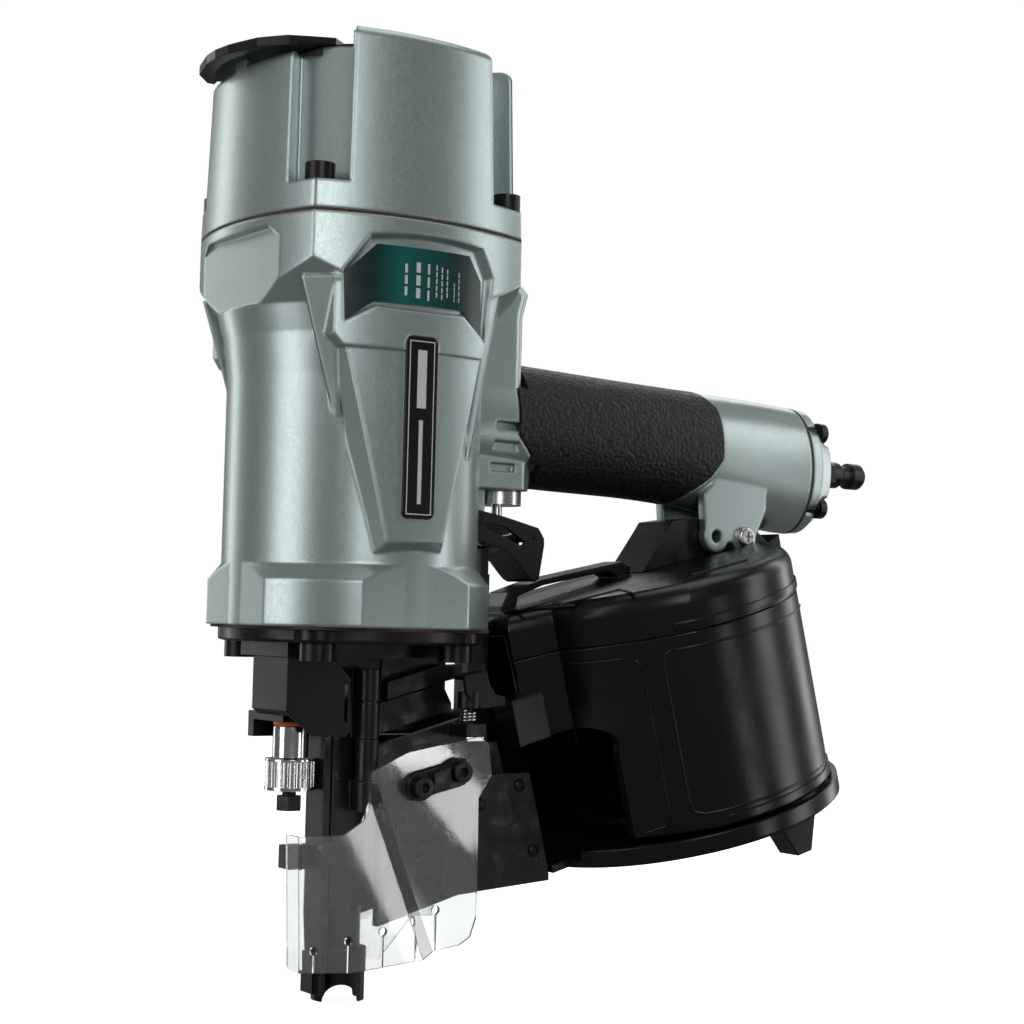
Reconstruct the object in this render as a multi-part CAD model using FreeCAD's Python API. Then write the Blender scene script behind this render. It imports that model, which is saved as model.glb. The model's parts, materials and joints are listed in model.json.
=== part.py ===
"""Pneumatic coil nail gun, as separate named pieces.

Frame, in millimetres: +Z runs up the drive axis, +X points to the handle and the magazine, and -Y is
the operator's left. The origin is on the drive axis at the bottom of the contact tip, at rest.
The magazine has its own frame, tilted back by MAG_TILT: u to the rear, v along +Y, h up its axis.
"""
import FreeCAD
import Part
import math
import os

Vector = FreeCAD.Vector

# --- driving dimensions ---------------------------------------------------------------------------
FIT = 0.05                 # radial gap of a running fit
GAP = 0.4                  # gap between neighbours that move past each other

FLANGE_Z = (119.0, 128.5)  # nose flange, hub and rim
RIM_Z = 124.0              # underside of the flange rim
BODY_Z = (129.5, 266.0)    # body casting
CAP_Z = (267.0, 330.0)     # cylinder cap
BARREL_R = 45.0
SIDE_HALF = 50.5           # half width of the bulged square head, at the middle of a side
CORNER_HALF = 41.7         # the same at a corner, along X and along Y
CAP_TAPER = 0.965
CYL_R = 30.0               # cylinder bore radius
CYL_WALL = 3.0
CHAMBER_R = 41.0
FLANGE_BOLT = 27.5         # flange bolts at (+-FLANGE_BOLT, +-FLANGE_BOLT)
CAP_SCREW = 37.5           # cap screws at (+-CAP_SCREW, +-CAP_SCREW)
POCKET_FLOOR_Z = 276.5
CAP_FRONT_Z = 321.5        # top of the cap in front of its dome
VISOR_TOP = 328.9          # top of the exhaust visor, at its screw
VISOR_SCREW_R = 3.0        # screw that the exhaust visor turns on

HANDLE_X = (40.0, 207.0)   # handle, from inside the barrel to the end cap gasket
END_Z = 198.0              # height of the air plug
PLUG_R = 5.5
PLUG_END_X = 250.0
LUG_Y = 11.0               # inner face of each lug ear
LUG_T = 4.0
LUG_HOLE = (157.9, 168.2)  # spare lug hole, (x, z)
LUG_SCREW = (172.4, 168.5)
LUG_HOLE_R = 2.5

FEED_Y = 21.0              # feed cylinder axis, along X
FEED_Z = 70.0
FEED_X = (16.5, 51.0)
PAWL_PIN = (4.0, 14.6)     # upright pin of the feed pawl, (x, y)
PAWL_EYE_R = 2.0

BORE_R = 4.2               # drive guide bore, below the feed slot
UPPER_BORE_R = 4.6         # the same beside the feed slot and above it
BLADE_R = 3.8
BLADE_TIP_Z = 95.0
TUBE_R = 7.0               # outside of the drive guide's lower tube
TUBE_Z = 10.5              # its lower end
BLOCK_Z = 33.0             # where the tube meets the guide block
FEED_SLOT_Z = (36.0, 97.0) # heights between which the nails come in from the rear
HINGE = (1.0, -14.0)       # door hinge axis, (x, y)
ROD = (-21.5, 0.0)         # depth adjuster axis, (x, y)
KNOB_R = 8.6

TRIGGER_PIN = (50.0, 169.5)
ARM_PIN = (74.4, 164.6)
PLUNGER_X = 62.5
PLUNGER_Z = 171.4

MAG_TILT = 15.0            # magazine axis leans this far to the front
MAG_BASE = Vector(151.0, 0.0, 58.5)
BRACKET_Z = 161.0          # flat seat on the lid
MAG_R = 63.0               # outside of the magazine wall
MAG_WALL = 2.5
MAG_RIM_R = 66.0
SEAM_H = 81.0              # lid seam
LID_H = 98.0
MAG_HINGE = (62.5, -19.0)  # cover hinge axis, (u, v)

os.makedirs("parts", exist_ok=True)


# --- helpers --------------------------------------------------------------------------------------
def box(x_span, y_span, z_span):
    """Box from three (low, high) spans."""
    sizes = [high - low for low, high in (x_span, y_span, z_span)]
    return Part.makeBox(*sizes, Vector(x_span[0], y_span[0], z_span[0]))


def rod(radius, start, end):
    """Cylinder from one point to another."""
    along = Vector(*end) - Vector(*start)
    return Part.makeCylinder(radius, along.Length, Vector(*start), along)


def ring(outer, inner, start, end):
    return rod(outer, start, end).cut(rod(inner, start, end))


def wire(points):
    corners = [Vector(*point) for point in points]
    return Part.makePolygon(corners + corners[:1])


def prism(points, along):
    """Closed polygon of 3-D points, extruded by a vector."""
    return Part.Face(wire(points)).extrude(Vector(*along))


def side_prism(points_xz, y_span):
    """Outline in X and Z, extruded along Y."""
    return prism([(x, y_span[0], z) for x, z in points_xz], (0, y_span[1] - y_span[0], 0))


def front_prism(points_yz, x_span):
    """Outline in Y and Z, extruded along X."""
    return prism([(x_span[0], y, z) for y, z in points_yz], (x_span[1] - x_span[0], 0, 0))


def plan_prism(points_xy, z_span):
    """Outline in X and Y, extruded along Z."""
    return prism([(x, y, z_span[0]) for x, y in points_xy], (0, 0, z_span[1] - z_span[0]))


def revolve(profile):
    """Profile of (radius, z) turned about Z."""
    face = Part.Face(wire([(radius, 0, z) for radius, z in profile]))
    return face.revolve(Vector(0, 0, 0), Vector(0, 0, 1), 360)


def fuse(shapes):
    first, *rest = shapes
    return first.multiFuse(rest).removeSplitter() if rest else first


def round_edges(shape, radius, wanted):
    """Fillet the edges that wanted() picks, or return the shape unchanged where that can't be done."""
    edges = [edge for edge in shape.Edges if wanted(edge)]
    try:
        rounded = shape.makeFillet(radius, edges)
    except Part.OCCError:
        return shape
    return rounded if rounded.isValid() and rounded.Volume > 0 else shape


def mirror_y(shape):
    return shape.mirror(Vector(0, 0, 0), Vector(0, 1, 0))


def both_sides(shape):
    return [shape, mirror_y(shape)]


def corners(distance):
    """The four (x, y) places at plus or minus distance."""
    return [(x * distance, y * distance) for x in (-1, 1) for y in (-1, 1)]


def bulged_square(z, scale=1.0):
    """Wire of four bowed sides."""
    side = SIDE_HALF * scale
    corner = CORNER_HALF * scale
    edges = []
    for turn in range(4):
        turned = FreeCAD.Rotation(Vector(0, 0, 1), 90 * turn)
        ends = (Vector(corner, -corner, z), Vector(side, 0, z), Vector(corner, corner, z))
        edges.append(Part.Arc(*[turned.multVec(end) for end in ends]).toShape())
    return Part.Wire(edges)


def bulged_column(scale, z_span):
    return Part.Face(bulged_square(z_span[0], scale)).extrude(Vector(0, 0, z_span[1] - z_span[0]))


def side_loft(first, first_y, second, second_y):
    """Straight-sided solid between two outlines in X and Z, at two depths."""
    wires = [wire([(x, y, z) for x, z in points]) for points, y in ((first, first_y), (second, second_y))]
    return Part.makeLoft(wires, True, True)


def ellipse_loft(sections):
    """Loft along X through upright ellipses, each (x, centre z, half width, half height)."""
    wires = []
    for x, centre_z, half_width, half_height in sections:
        long_half = max(half_width, half_height)
        short_half = min(half_width, half_height)
        curve = Part.Ellipse(Vector(0, 0, 0), long_half, short_half).toShape()
        curve.rotate(Vector(0, 0, 0), Vector(0, 1, 0), -90)
        curve.translate(Vector(x, 0, centre_z))
        wires.append(Part.Wire([curve]))
    return Part.makeLoft(wires, True, False)


def hex_head(radius, height, socket_radius, base, direction):
    """Socket screw head: a cylinder with a hexagonal socket in its outer end."""
    head = Part.makeCylinder(radius, height, Vector(0, 0, 0), Vector(0, 0, 1))
    head = head.cut(plan_prism(hexagon((0, 0), socket_radius), (height * 0.45, height + 1)))
    head.Placement = FreeCAD.Placement(Vector(*base), FreeCAD.Rotation(Vector(0, 0, 1), Vector(*direction)))
    return head


def hexagon(centre, radius):
    """The six corners of a hexagon about a point."""
    x, y = centre
    turns = [math.radians(60 * k) for k in range(6)]
    return [(x + radius * math.cos(turn), y + radius * math.sin(turn)) for turn in turns]


def in_magazine(shape):
    """Move a shape from the magazine's frame into the tool's."""
    placed = shape.copy()
    turn = FreeCAD.Rotation(Vector(0, 1, 0), -MAG_TILT)
    placed.Placement = FreeCAD.Placement(MAG_BASE, turn).multiply(placed.Placement)
    return placed


def save(name, shapes):
    """Write one sub-part, and report it."""
    solids = []
    for shape in shapes if isinstance(shapes, list) else [shapes]:
        solids.extend(shape.Solids)
    whole = solids[0] if len(solids) == 1 else Part.makeCompound(solids)
    span = whole.BoundBox
    state = "ok" if all(solid.isValid() and solid.Volume > 0 for solid in solids) else "BAD"
    print(f"{name:22s} {state} solids {len(solids)} volume {whole.Volume:10.1f} "
          f"x {span.XMin:6.1f} {span.XMax:6.1f} y {span.YMin:6.1f} {span.YMax:6.1f} "
          f"z {span.ZMin:6.1f} {span.ZMax:6.1f}")
    whole.exportStep(f"parts/{name}.step")


# --- body casting ---------------------------------------------------------------------------------
HANDLE_OUTER = [(40, 206.5, 16.5, 23), (62, 206.3, 17.5, 22.6), (105, 205, 18, 22.4), (148, 203.2, 17.4, 23),
                (178, 200.5, 16.8, 25), (207, 198, 17.2, 26)]
GRIP_OUTLINE = [(60, 235), (148, 235), (154.3, 226), (159, 219.5), (159, 198.5), (154, 191), (143.6, 182.4),
                (131.5, 172), (64, 172), (66.3, 184.7), (67.2, 194), (60, 201.2)]
PANEL_FACE = [(-28.6, 224.7), (-20.5, 232.4), (11.7, 233.7), (20.7, 223.6), (5.9, 160.2), (-13.3, 159.7)]
PANEL_FOOT = [(-32, 226), (-22, 236.5), (13.5, 238), (25, 225), (12, 151.5), (-16.5, 152)]
LABEL_OUTLINE = [(-31.4, 246.3), (-20.4, 257.1), (16.3, 257.4), (22, 249), (22.6, 229.2), (13.4, 237.5),
                 (-21.1, 237.2), (-30.7, 230.6)]
LABEL_RIM = [(-34.4, 250.6), (-25.8, 261.3), (23.2, 261.4), (31.3, 252.7), (24, 226.5), (13.2, 235.3),
             (-20.6, 234.4), (-32.4, 226.5)]
LABEL_FLOOR = 0.952        # scale of the bulged square that the label lies on
LABEL_TOP = 0.965
PANEL_SCALE = 0.975
FRONT_RECESS = [(27.9, 259.1), (39.5, 259.1), (40.5, 245), (30.1, 237.5), (-30.1, 237.5), (-40.5, 245),
                (-39.5, 259.1), (-27.9, 259.1), (-22, 262.5), (22, 262.5)]


# Ribs that taper into the barrel: height and (x, y) section at the top, then at the tip.
RIBS = [(245, [(-43, -36), (-35, -44.4), (-31.8, -45.3), (-30, -30)],
         199, [(-28.2, -34.6), (-27.6, -35.6), (-26.4, -36.6), (-24, -33)]),
        (250, [(38, -36), (30.5, -45.7), (26.5, -46.8), (24, -30)],
         188, [(24.6, -37.4), (23.0, -38.9), (21.6, -39.7), (19, -36)])]


def head_block():
    """Bulged square head with corner columns that die into the barrel."""
    square = Part.Face(bulged_square(205)).extrude(Vector(0, 0, BODY_Z[1] - 205))
    limit = revolve([(0, 205), (44, 205), (46.5, 228), (49, 237.5), (54.5, 245), (60, 252),
                     (60, BODY_Z[1]), (0, BODY_Z[1])])
    return square.common(limit)


def foot_block():
    """Squared pad above the flange, its top sloping back into the barrel."""
    low = BODY_Z[0]
    square = box((-44.8, 44.8), (-44.8, 44.8), (low, 152))
    limit = revolve([(0, low), (49.5, low), (49.5, 145), (44, 152), (0, 152)])
    return square.common(limit)


def side_panel():
    """Raised tapering panel on the left side; its face is bowed like the head."""
    solid = side_loft(PANEL_FOOT, -38.0, PANEL_FACE, -52.0)
    return solid.common(bulged_column(PANEL_SCALE, (145, 240)))


def side_rim():
    """Bowed ground of the label on the left side, and the two ribs that run down from its rim."""
    outline = [(-34.4, 262), (-34.4, 226), (-31, 222), (22, 222), (31.3, 250), (31.3, 262)]
    pieces = [side_prism(outline, (-55, -30)).common(bulged_column(0.99, (220, 263)))]
    for top_z, top, low_z, low in RIBS:
        wires = [wire([(x, y, z) for x, y in points]) for points, z in ((top, top_z), (low, low_z))]
        pieces.append(Part.makeLoft(wires, True, True))
    return pieces


def lug_ear():
    """Left ear of the rear lug, with its two rings."""
    y_span = (-LUG_Y - LUG_T, -LUG_Y)
    outline = [(151, 184.5), (156, 190), (160.5, 195), (184, 195), (184, 180), (178, 168), (173, 166),
               (157, 166), (152.5, 167.5)]
    web = side_prism(outline, y_span)
    rings = [rod(6.2, (x, y_span[0], z), (x, y_span[1], z)) for x, z in (LUG_HOLE, LUG_SCREW)]
    return fuse([web] + rings)


COOLING_SLOTS = [(187.4, 11.8), (195.2, 14.6), (202.4, 14.6)]   # height, and Y of the slot's bottom


def valve_boss():
    """Housing of the trigger valve under the handle root, with the valve's ears."""
    profile = [(44, 181), (69, 181), (71, 188), (72, 196), (71, 203), (68, 206), (44, 206)]
    boss = side_prism(profile, (-13.5, 13.5))
    boss = boss.common(plan_prism([(44, -13.5), (65, -13.5), (72, -8), (72, 8), (65, 13.5), (44, 13.5)],
                                  (180, 207)))
    ear = box((43, 52.3), (5.3, 7.0), (165.5, 184))
    return fuse([boss] + both_sides(ear))


def rear_spine():
    """Rib that carries the head back into the handle."""
    spine = side_prism([(38, 262), (58, 262), (66.5, 254), (64, 245), (64, 200), (38, 200)], (-15, 15))
    return round_edges(spine, 5.0, lambda e: e.BoundBox.YLength < 0.1 and e.BoundBox.XMin > 50)


def plate_blank(gap):
    """Rounded block through the name plate, larger by a gap all round."""
    block = box((-9.5 - gap, 2.6 + gap), (-55, -40), (166 - gap, 227 + gap))
    return round_edges(block, 2.4 + gap, lambda e: abs(e.BoundBox.YLength - 15) < 0.01)


def plate_pocket():
    """Room for the name plate where the ground of the label would reach into it."""
    sheet = bulged_column(1.06, (221, 230)).cut(bulged_column(PANEL_SCALE, (220, 231)))
    return plate_blank(2 * FIT).common(sheet)


def housing():
    outer = ellipse_loft(HANDLE_OUTER)
    core = ellipse_loft([(x, z, w - 3, h - 3) for x, z, w, h in HANDLE_OUTER])
    grip_zone = side_prism(GRIP_OUTLINE, (-30, 30))
    handle = outer.cut(grip_zone).fuse(core)
    barrel = rod(BARREL_R, (0, 0, BODY_Z[0]), (0, 0, BODY_Z[1]))
    body = fuse([barrel, head_block(), foot_block(), handle, valve_boss(), rear_spine()])
    raised = [side_panel(), lug_ear()] + side_rim()
    body = fuse([body] + [piece for shape in raised for piece in both_sides(shape)])
    recess = side_loft(LABEL_RIM, -50.6, LABEL_OUTLINE, -44.0)
    recess = recess.fuse(side_prism(LABEL_OUTLINE, (-44.5, -41)))
    recess = recess.cut(bulged_column(LABEL_FLOOR, (220, 265)))
    front_recess = front_prism(FRONT_RECESS, (-60, -46.6))
    cylinder_r = CYL_R + CYL_WALL
    hollow = revolve([(0, BODY_Z[0] - 1), (cylinder_r + 0.3, BODY_Z[0] - 1), (cylinder_r + 0.3, 150),
                      (CHAMBER_R, 152), (CHAMBER_R, BODY_Z[1] + 1), (0, BODY_Z[1] + 1)])
    reservoir = ellipse_loft([(x, z, w - 6, h - 6.5) for x, z, w, h in HANDLE_OUTER])
    valve_bore = rod(8.2, (PLUNGER_X, 0, 180), (PLUNGER_X, 0, 205))
    tools = both_sides(recess) + both_sides(plate_pocket()) + [front_recess, hollow, reservoir, valve_bore]
    for level, depth_y in COOLING_SLOTS:
        tools.extend(both_sides(box((50, 61), (-20, -depth_y), (level, level + 3))))
    for x, z in (LUG_HOLE, LUG_SCREW):
        tools.append(rod(LUG_HOLE_R, (x, -20, z), (x, 20, z)))
    x, z = TRIGGER_PIN
    tools.append(rod(1.6, (x, -20, z), (x, 20, z)))
    for x, y in corners(CAP_SCREW):
        tools.append(rod(3.05, (x, y, 250), (x, y, 270)))
    for x, y in corners(FLANGE_BOLT):
        tools.append(rod(3.05, (x, y, 129), (x, y, 142)))
    for tool in tools:
        body = body.cut(tool)
    return max(body.Solids, key=lambda solid: solid.Volume)


def side_label():
    """Printed label that lies in the left recess."""
    sheet = bulged_column(LABEL_TOP, (220, 265)).cut(bulged_column(LABEL_FLOOR, (219, 266)))
    middle_x, middle_z = -3.0, 246.0
    shrunk = [(middle_x + 0.985 * (x - middle_x), middle_z + 0.97 * (z - middle_z)) for x, z in LABEL_OUTLINE]
    return sheet.common(side_prism(shrunk, (-55, -30)))


def name_plate():
    """Dark rounded plate on the raised panel, bowed like it."""
    sheet = bulged_column(PANEL_SCALE + 0.018, (160, 230)).cut(bulged_column(PANEL_SCALE, (159, 231)))
    return plate_blank(0).common(sheet)


def grip_sleeve():
    """Rubber sleeve round the handle core."""
    outer = ellipse_loft([(x, z, w + 0.6, h + 0.4) for x, z, w, h in HANDLE_OUTER])
    core = ellipse_loft([(x, z, w - 2.9, h - 2.9) for x, z, w, h in HANDLE_OUTER])
    shrunk = [(x + (0.3 if x < 100 else -0.3), z) for x, z in GRIP_OUTLINE]
    sleeve = outer.common(side_prism(shrunk, (-30, 30))).cut(core)
    sleeve = sleeve.cut(box((40, 73), (-13.8, 13.8), (170, 207)))
    return sleeve.cut(box((40, 65), (-15.3, 15.3), (170, 240)))


save("housing", housing())
save("side_label", [side_label(), mirror_y(side_label())])
save("name_plate", [name_plate(), mirror_y(name_plate())])
save("grip_sleeve", grip_sleeve())


# --- cylinder cap and what is in it ---------------------------------------------------------------
def corner_pocket(x, y):
    """Pocket for one cap screw, open outwards and at the top; the rear ones reach further forwards."""
    reach = 15.0 if x > 0 else 10.5
    span = (-reach, 10.5) if y < 0 else (-10.5, reach)
    pocket = box((44, 75), span, (POCKET_FLOOR_Z, 335))
    angle = math.degrees(math.atan2(y, x))
    pocket.rotate(Vector(0, 0, 0), Vector(0, 0, 1), angle)
    return pocket


def visor_recess():
    """Room in the cap's dome for the visor's disc and for the small sweep of its front."""
    cone = revolve([(0, 326.2), (33.5, 326.2), (54, 323), (70, 320.5), (70, 340), (0, 340)])
    fan = plan_prism([(0, 0), (-40, -57), (-70, -57), (-70, 57), (-40, 57)], (315, 340))
    fan = fan.common(box((-70, 0), (-36.6, 36.6), (315, 340)))
    return cone.common(fan.fuse(rod(33.5, (0, 0, 315), (0, 0, 340))))


def front_top_edge(edge):
    """True for the top edges of the cap in front of its dome."""
    return abs(edge.BoundBox.ZMax - CAP_FRONT_Z) < 0.1 and edge.BoundBox.XMax < -33.5


def cylinder_cap():
    shell = Part.makeLoft([bulged_square(CAP_Z[0]), bulged_square(CAP_Z[1], CAP_TAPER)], True, True)
    shell = shell.cut(box((-60, -33), (-60, 60), (CAP_FRONT_Z, 340)))
    shell = round_edges(shell, 4.0, lambda e: e.BoundBox.ZMin > 329.9)
    shell = round_edges(shell, 2.5, front_top_edge)
    shell = round_edges(shell, 2.5, lambda e: e.BoundBox.ZLength > 40)
    rib = box((-49, -46), (-4, 4), (300, 323.4))
    shell = shell.fuse(rib)
    tools = [corner_pocket(x, y) for x, y in corners(1)]
    tools.append(visor_recess())
    tools.append(rod(36.4, (0, 0, 260), (0, 0, 303)))
    tools.append(rod(24, (0, 0, 300), (0, 0, 312)))
    tools.append(box((-43, 0), (-16, 16), (306, 316)))
    tools.append(box((-43, -34), (-16, 16), (306, 325)))
    tools.append(rod(VISOR_SCREW_R + FIT, (0, 0, 314), (0, 0, 335)))
    for x, y in corners(CAP_SCREW):
        tools.append(rod(3.3, (x, y, 260), (x, y, 280)))
    for tool in tools:
        shell = shell.cut(tool)
    return shell


def cap_gasket():
    gasket = Part.Face(bulged_square(BODY_Z[1], 0.998)).extrude(Vector(0, 0, CAP_Z[0] - BODY_Z[1]))
    gasket = gasket.cut(rod(CHAMBER_R, (0, 0, 260), (0, 0, 270)))
    for x, y in corners(CAP_SCREW):
        gasket = gasket.cut(rod(3.3, (x, y, 260), (x, y, 270)))
    return gasket


def cap_screws():
    screws = []
    for x, y in corners(CAP_SCREW):
        head = hex_head(5.0, 6.0, 2.9, (x, y, POCKET_FLOOR_Z), (0, 0, 1))
        screws.append(head.fuse(rod(3.0, (x, y, 252), (x, y, POCKET_FLOOR_Z))))
    return screws


def exhaust_deflector():
    """Shallow conical visor that turns in the cap's recess, its front lip hanging outside the cap."""
    cone = revolve([(0, 326.5), (33, 326.5), (52.5, 323.8), (53.5, 322.4), (59.5, 322.2), (59.5, 325.2),
                    (34, VISOR_TOP), (0, VISOR_TOP)])
    left = [(0, 0), (-30, -32.2), (-47, -30), (-54, -22), (-58, -8), (-58.8, 0)]
    right = [(x, -y) for x, y in reversed(left[:-1])]
    fan = plan_prism(left + right, (315, 335))
    visor = cone.common(fan.fuse(rod(32.5, (0, 0, 315), (0, 0, 335))))
    return visor.cut(rod(VISOR_SCREW_R + 0.2, (0, 0, 320), (0, 0, 340)))


def deflector_screw():
    top = VISOR_TOP + 0.2
    head = hex_head(7.0, 2.6, 2.4, (0, 0, top), (0, 0, 1))
    return head.fuse(rod(VISOR_SCREW_R, (0, 0, 318), (0, 0, top)))


def head_valve():
    """Valve that lifts off the cylinder top to let the air in."""
    return revolve([(0, 263.4), (33.5, 263.4), (36.0, 269), (36.0, 277), (22, 277), (22, 285), (0, 285)])


save("cylinder_cap", cylinder_cap())
save("cap_gasket", cap_gasket())
save("cap_screws", cap_screws())
save("exhaust_deflector", exhaust_deflector())
save("deflector_screw", deflector_screw())
save("head_valve", head_valve())
save("head_valve_spring", [ring(17.0, 14.6, (0, 0, 290.5 + 3 * k), (0, 0, 292.5 + 3 * k)) for k in range(4)])


# --- cylinder, piston and nose --------------------------------------------------------------------
def cylinder():
    outer = CYL_R + CYL_WALL
    sleeve = ring(outer, CYL_R, (0, 0, 130), (0, 0, 262.6))
    for k in range(12):
        angle = math.radians(30 * k)
        reach = (40 * math.cos(angle), 40 * math.sin(angle))
        sleeve = sleeve.cut(rod(2.0, (0, 0, 172), (reach[0], reach[1], 172)))
    return sleeve


def piston():
    body = revolve([(0, 250), (29.6, 250), (29.6, 253.5), (27.5, 253.5), (27.5, 256.8), (29.6, 256.8),
                    (29.6, 261), (20, 261), (17, 257), (0, 257)])
    return body


def nose_flange():
    """Rim that the bolts hold to the body, and a lower hub that carries the nose."""
    low, high = FLANGE_Z
    rim = rod(44.6, (0, 0, RIM_Z), (0, 0, high))
    pads = [rod(8.5, (x, y, RIM_Z), (x, y, high)) for x, y in corners(FLANGE_BOLT)]
    plate = fuse([rim] + pads)
    plate = round_edges(plate, 1.2, lambda e: e.BoundBox.ZMax < RIM_Z + 0.01)
    plate = plate.fuse(box((-33, 36), (-17, 17), (low, RIM_Z + 1)))
    plate = plate.cut(rod(5.0, (0, 0, 110), (0, 0, 130)))
    for x, y in corners(FLANGE_BOLT):
        plate = plate.cut(rod(3.05, (x, y, 110), (x, y, 130)))
    return plate


def flange_gasket():
    gasket = Part.Face(bulged_square(FLANGE_Z[1], 0.86)).extrude(Vector(0, 0, BODY_Z[0] - FLANGE_Z[1]))
    gasket = gasket.fuse(rod(44.9, (0, 0, FLANGE_Z[1]), (0, 0, BODY_Z[0])))
    gasket = gasket.cut(rod(28, (0, 0, 120), (0, 0, 130)))
    for x, y in corners(FLANGE_BOLT):
        gasket = gasket.cut(rod(3.05, (x, y, 120), (x, y, 130)))
    return gasket


def flange_bolts():
    bolts = []
    for x, y in corners(FLANGE_BOLT):
        head = hex_head(6.0, 6.0, 2.9, (x, y, RIM_Z), (0, 0, -1))
        bolts.append(head.fuse(rod(3.0, (x, y, RIM_Z), (x, y, 141))))
    return bolts


def drive_guide():
    """Hardened nose: a slotted block above, a plain tube below, and the fixed door knuckles."""
    block = box((-9, 9), (-8, 8), (BLOCK_Z, FLANGE_Z[0]))
    tube = rod(TUBE_R, (0, 0, TUBE_Z), (0, 0, BLOCK_Z))
    x, y = HINGE
    upper = rod(4.0, (x, y, 91.2), (x, y, 115)).cut(ring(5.0, 3.4, (x, y, 103.4), (x, y, 104.4)))
    upper_web = box((-2, 4), (-14, -7.5), (91.2, 115))
    lower = rod(4.0, (x, y, 66), (x, y, 76.4))
    lower_web = box((-2, 4), (-14, -7.5), (66, 76.4))
    nose = fuse([block, tube, upper, upper_web, lower, lower_web])
    nose = nose.cut(rod(BORE_R, (0, 0, 0), (0, 0, 125)))
    nose = nose.cut(rod(UPPER_BORE_R, (0, 0, FEED_SLOT_Z[0]), (0, 0, 125)))
    nose = nose.cut(box((0, 20), (-4.1, 4.1), FEED_SLOT_Z))
    nose = nose.cut(box((0, 20), (3.0, 20), (FEED_Z - 4, FEED_Z + 4)))
    return nose.cut(rod(2.0 + FIT, (x, y, 60), (x, y, 120)))


def bumper():
    return ring(29.5, 6.5, (0, 0, 130.4), (0, 0, 158))


save("cylinder", cylinder())
save("piston", piston())
save("piston_ring", ring(CYL_R - FIT, 27.55, (0, 0, 253.6), (0, 0, 256.7)))
save("driver_blade", rod(BLADE_R, (0, 0, BLADE_TIP_Z), (0, 0, 250)))
save("bumper", bumper())
save("nose_flange", nose_flange())
save("flange_gasket", flange_gasket())
save("flange_bolts", flange_bolts())
save("drive_guide", drive_guide())
save("door_hinge_pin", rod(2.0, (HINGE[0], HINGE[1], 66), (HINGE[0], HINGE[1], 115)))


# --- handle end -----------------------------------------------------------------------------------
END_BOLTS = [(-11.0, END_Z - 15.5), (11.0, END_Z - 15.5), (-11.0, END_Z + 15.5), (11.0, END_Z + 15.5)]


def end_cap():
    low = HANDLE_X[1] + 1.0
    cap = ellipse_loft([(low, END_Z, 17.2, 26), (low + 5, END_Z, 17.0, 25.6)])
    sections = [ellipse_wire(low + 5, 17.0, 25.6), ellipse_wire(low + 14.5, 12.0, 19.0)]
    dome = Part.makeLoft(sections, True, True)
    boss = rod(9.0, (low + 3, 0, END_Z), (low + 16, 0, END_Z))
    cap = fuse([cap, dome, boss])
    for y, z in END_BOLTS:
        cap = cap.cut(rod(5.0, (low + 6.5, y, z), (low + 30, y, z)))
        cap = cap.cut(rod(2.6, (low - 1, y, z), (low + 30, y, z)))
    return cap.cut(rod(PLUG_R, (low - 1, 0, END_Z), (low + 30, 0, END_Z)))


def ellipse_wire(x, half_width, half_height):
    curve = Part.Ellipse(Vector(0, 0, 0), half_height, half_width).toShape()
    curve.rotate(Vector(0, 0, 0), Vector(0, 1, 0), -90)
    curve.translate(Vector(x, 0, END_Z))
    return Part.Wire([curve])


def end_cap_gasket():
    low = HANDLE_X[1]
    gasket = ellipse_loft([(low, END_Z, 17.3, 26.1), (low + 1, END_Z, 17.3, 26.1)])
    gasket = gasket.cut(rod(9, (low - 1, 0, END_Z), (low + 2, 0, END_Z)))
    for y, z in END_BOLTS:
        gasket = gasket.cut(rod(2.6, (low - 1, y, z), (low + 30, y, z)))
    return gasket


def end_cap_bolts():
    face = HANDLE_X[1] + 7.5
    bolts = []
    for y, z in END_BOLTS:
        head = hex_head(4.2, 3.2, 2.2, (face, y, z), (1, 0, 0))
        bolts.append(head.fuse(rod(2.5, (HANDLE_X[1] + 0.2, y, z), (face, y, z))))
    return bolts


def air_plug():
    """Quick-connect plug: threaded root, hexagon, groove and nose."""
    low = HANDLE_X[1] + 1.5
    shaft = [(0, low), (PLUG_R, low), (PLUG_R, 236), (4.0, 238), (4.0, 241.5), (PLUG_R, 243), (PLUG_R, 248.5),
             (4.4, PLUG_END_X), (0, PLUG_END_X)]
    plug = revolve(shaft).fuse(plan_prism(hexagon((0, 0), 7.0), (224.3, 231)))
    plug = plug.cut(rod(3.0, (0, 0, low - 1), (0, 0, PLUG_END_X + 1)))
    plug.rotate(Vector(0, 0, 0), Vector(0, 1, 0), 90)
    plug.translate(Vector(0, 0, END_Z))
    return plug


save("end_cap", end_cap())
save("end_cap_gasket", end_cap_gasket())
save("end_cap_bolts", end_cap_bolts())
save("air_plug", air_plug())


# --- trigger and its valve ------------------------------------------------------------------------
TRIGGER_OUTLINE = [(46.6, 173.5), (46.6, 162.5), (58.4, 159.8), (62.8, 157.8), (66.3, 154.9), (70, 151),
                   (72.5, 148.7), (74.6, 147.8), (76.2, 148.8), (76.8, 152.5), (78.3, 161.5), (78.2, 164),
                   (75.5, 167.8), (60, 171.3)]
TRIGGER_HOLLOW = [(40, 180), (40, 150), (60.5, 150), (60.5, 161.5), (64.5, 159.6), (68, 156.5), (71.5, 152.7),
                  (74.2, 151), (75.8, 161.5), (84, 163), (84, 180)]
TRIGGER_WINDOW = [(52.5, 168.6), (52.2, 166.2), (59, 164.4), (68.5, 160.2), (69.6, 162.2), (61, 167.4)]
TRIGGER_HALF = 9.0


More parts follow.
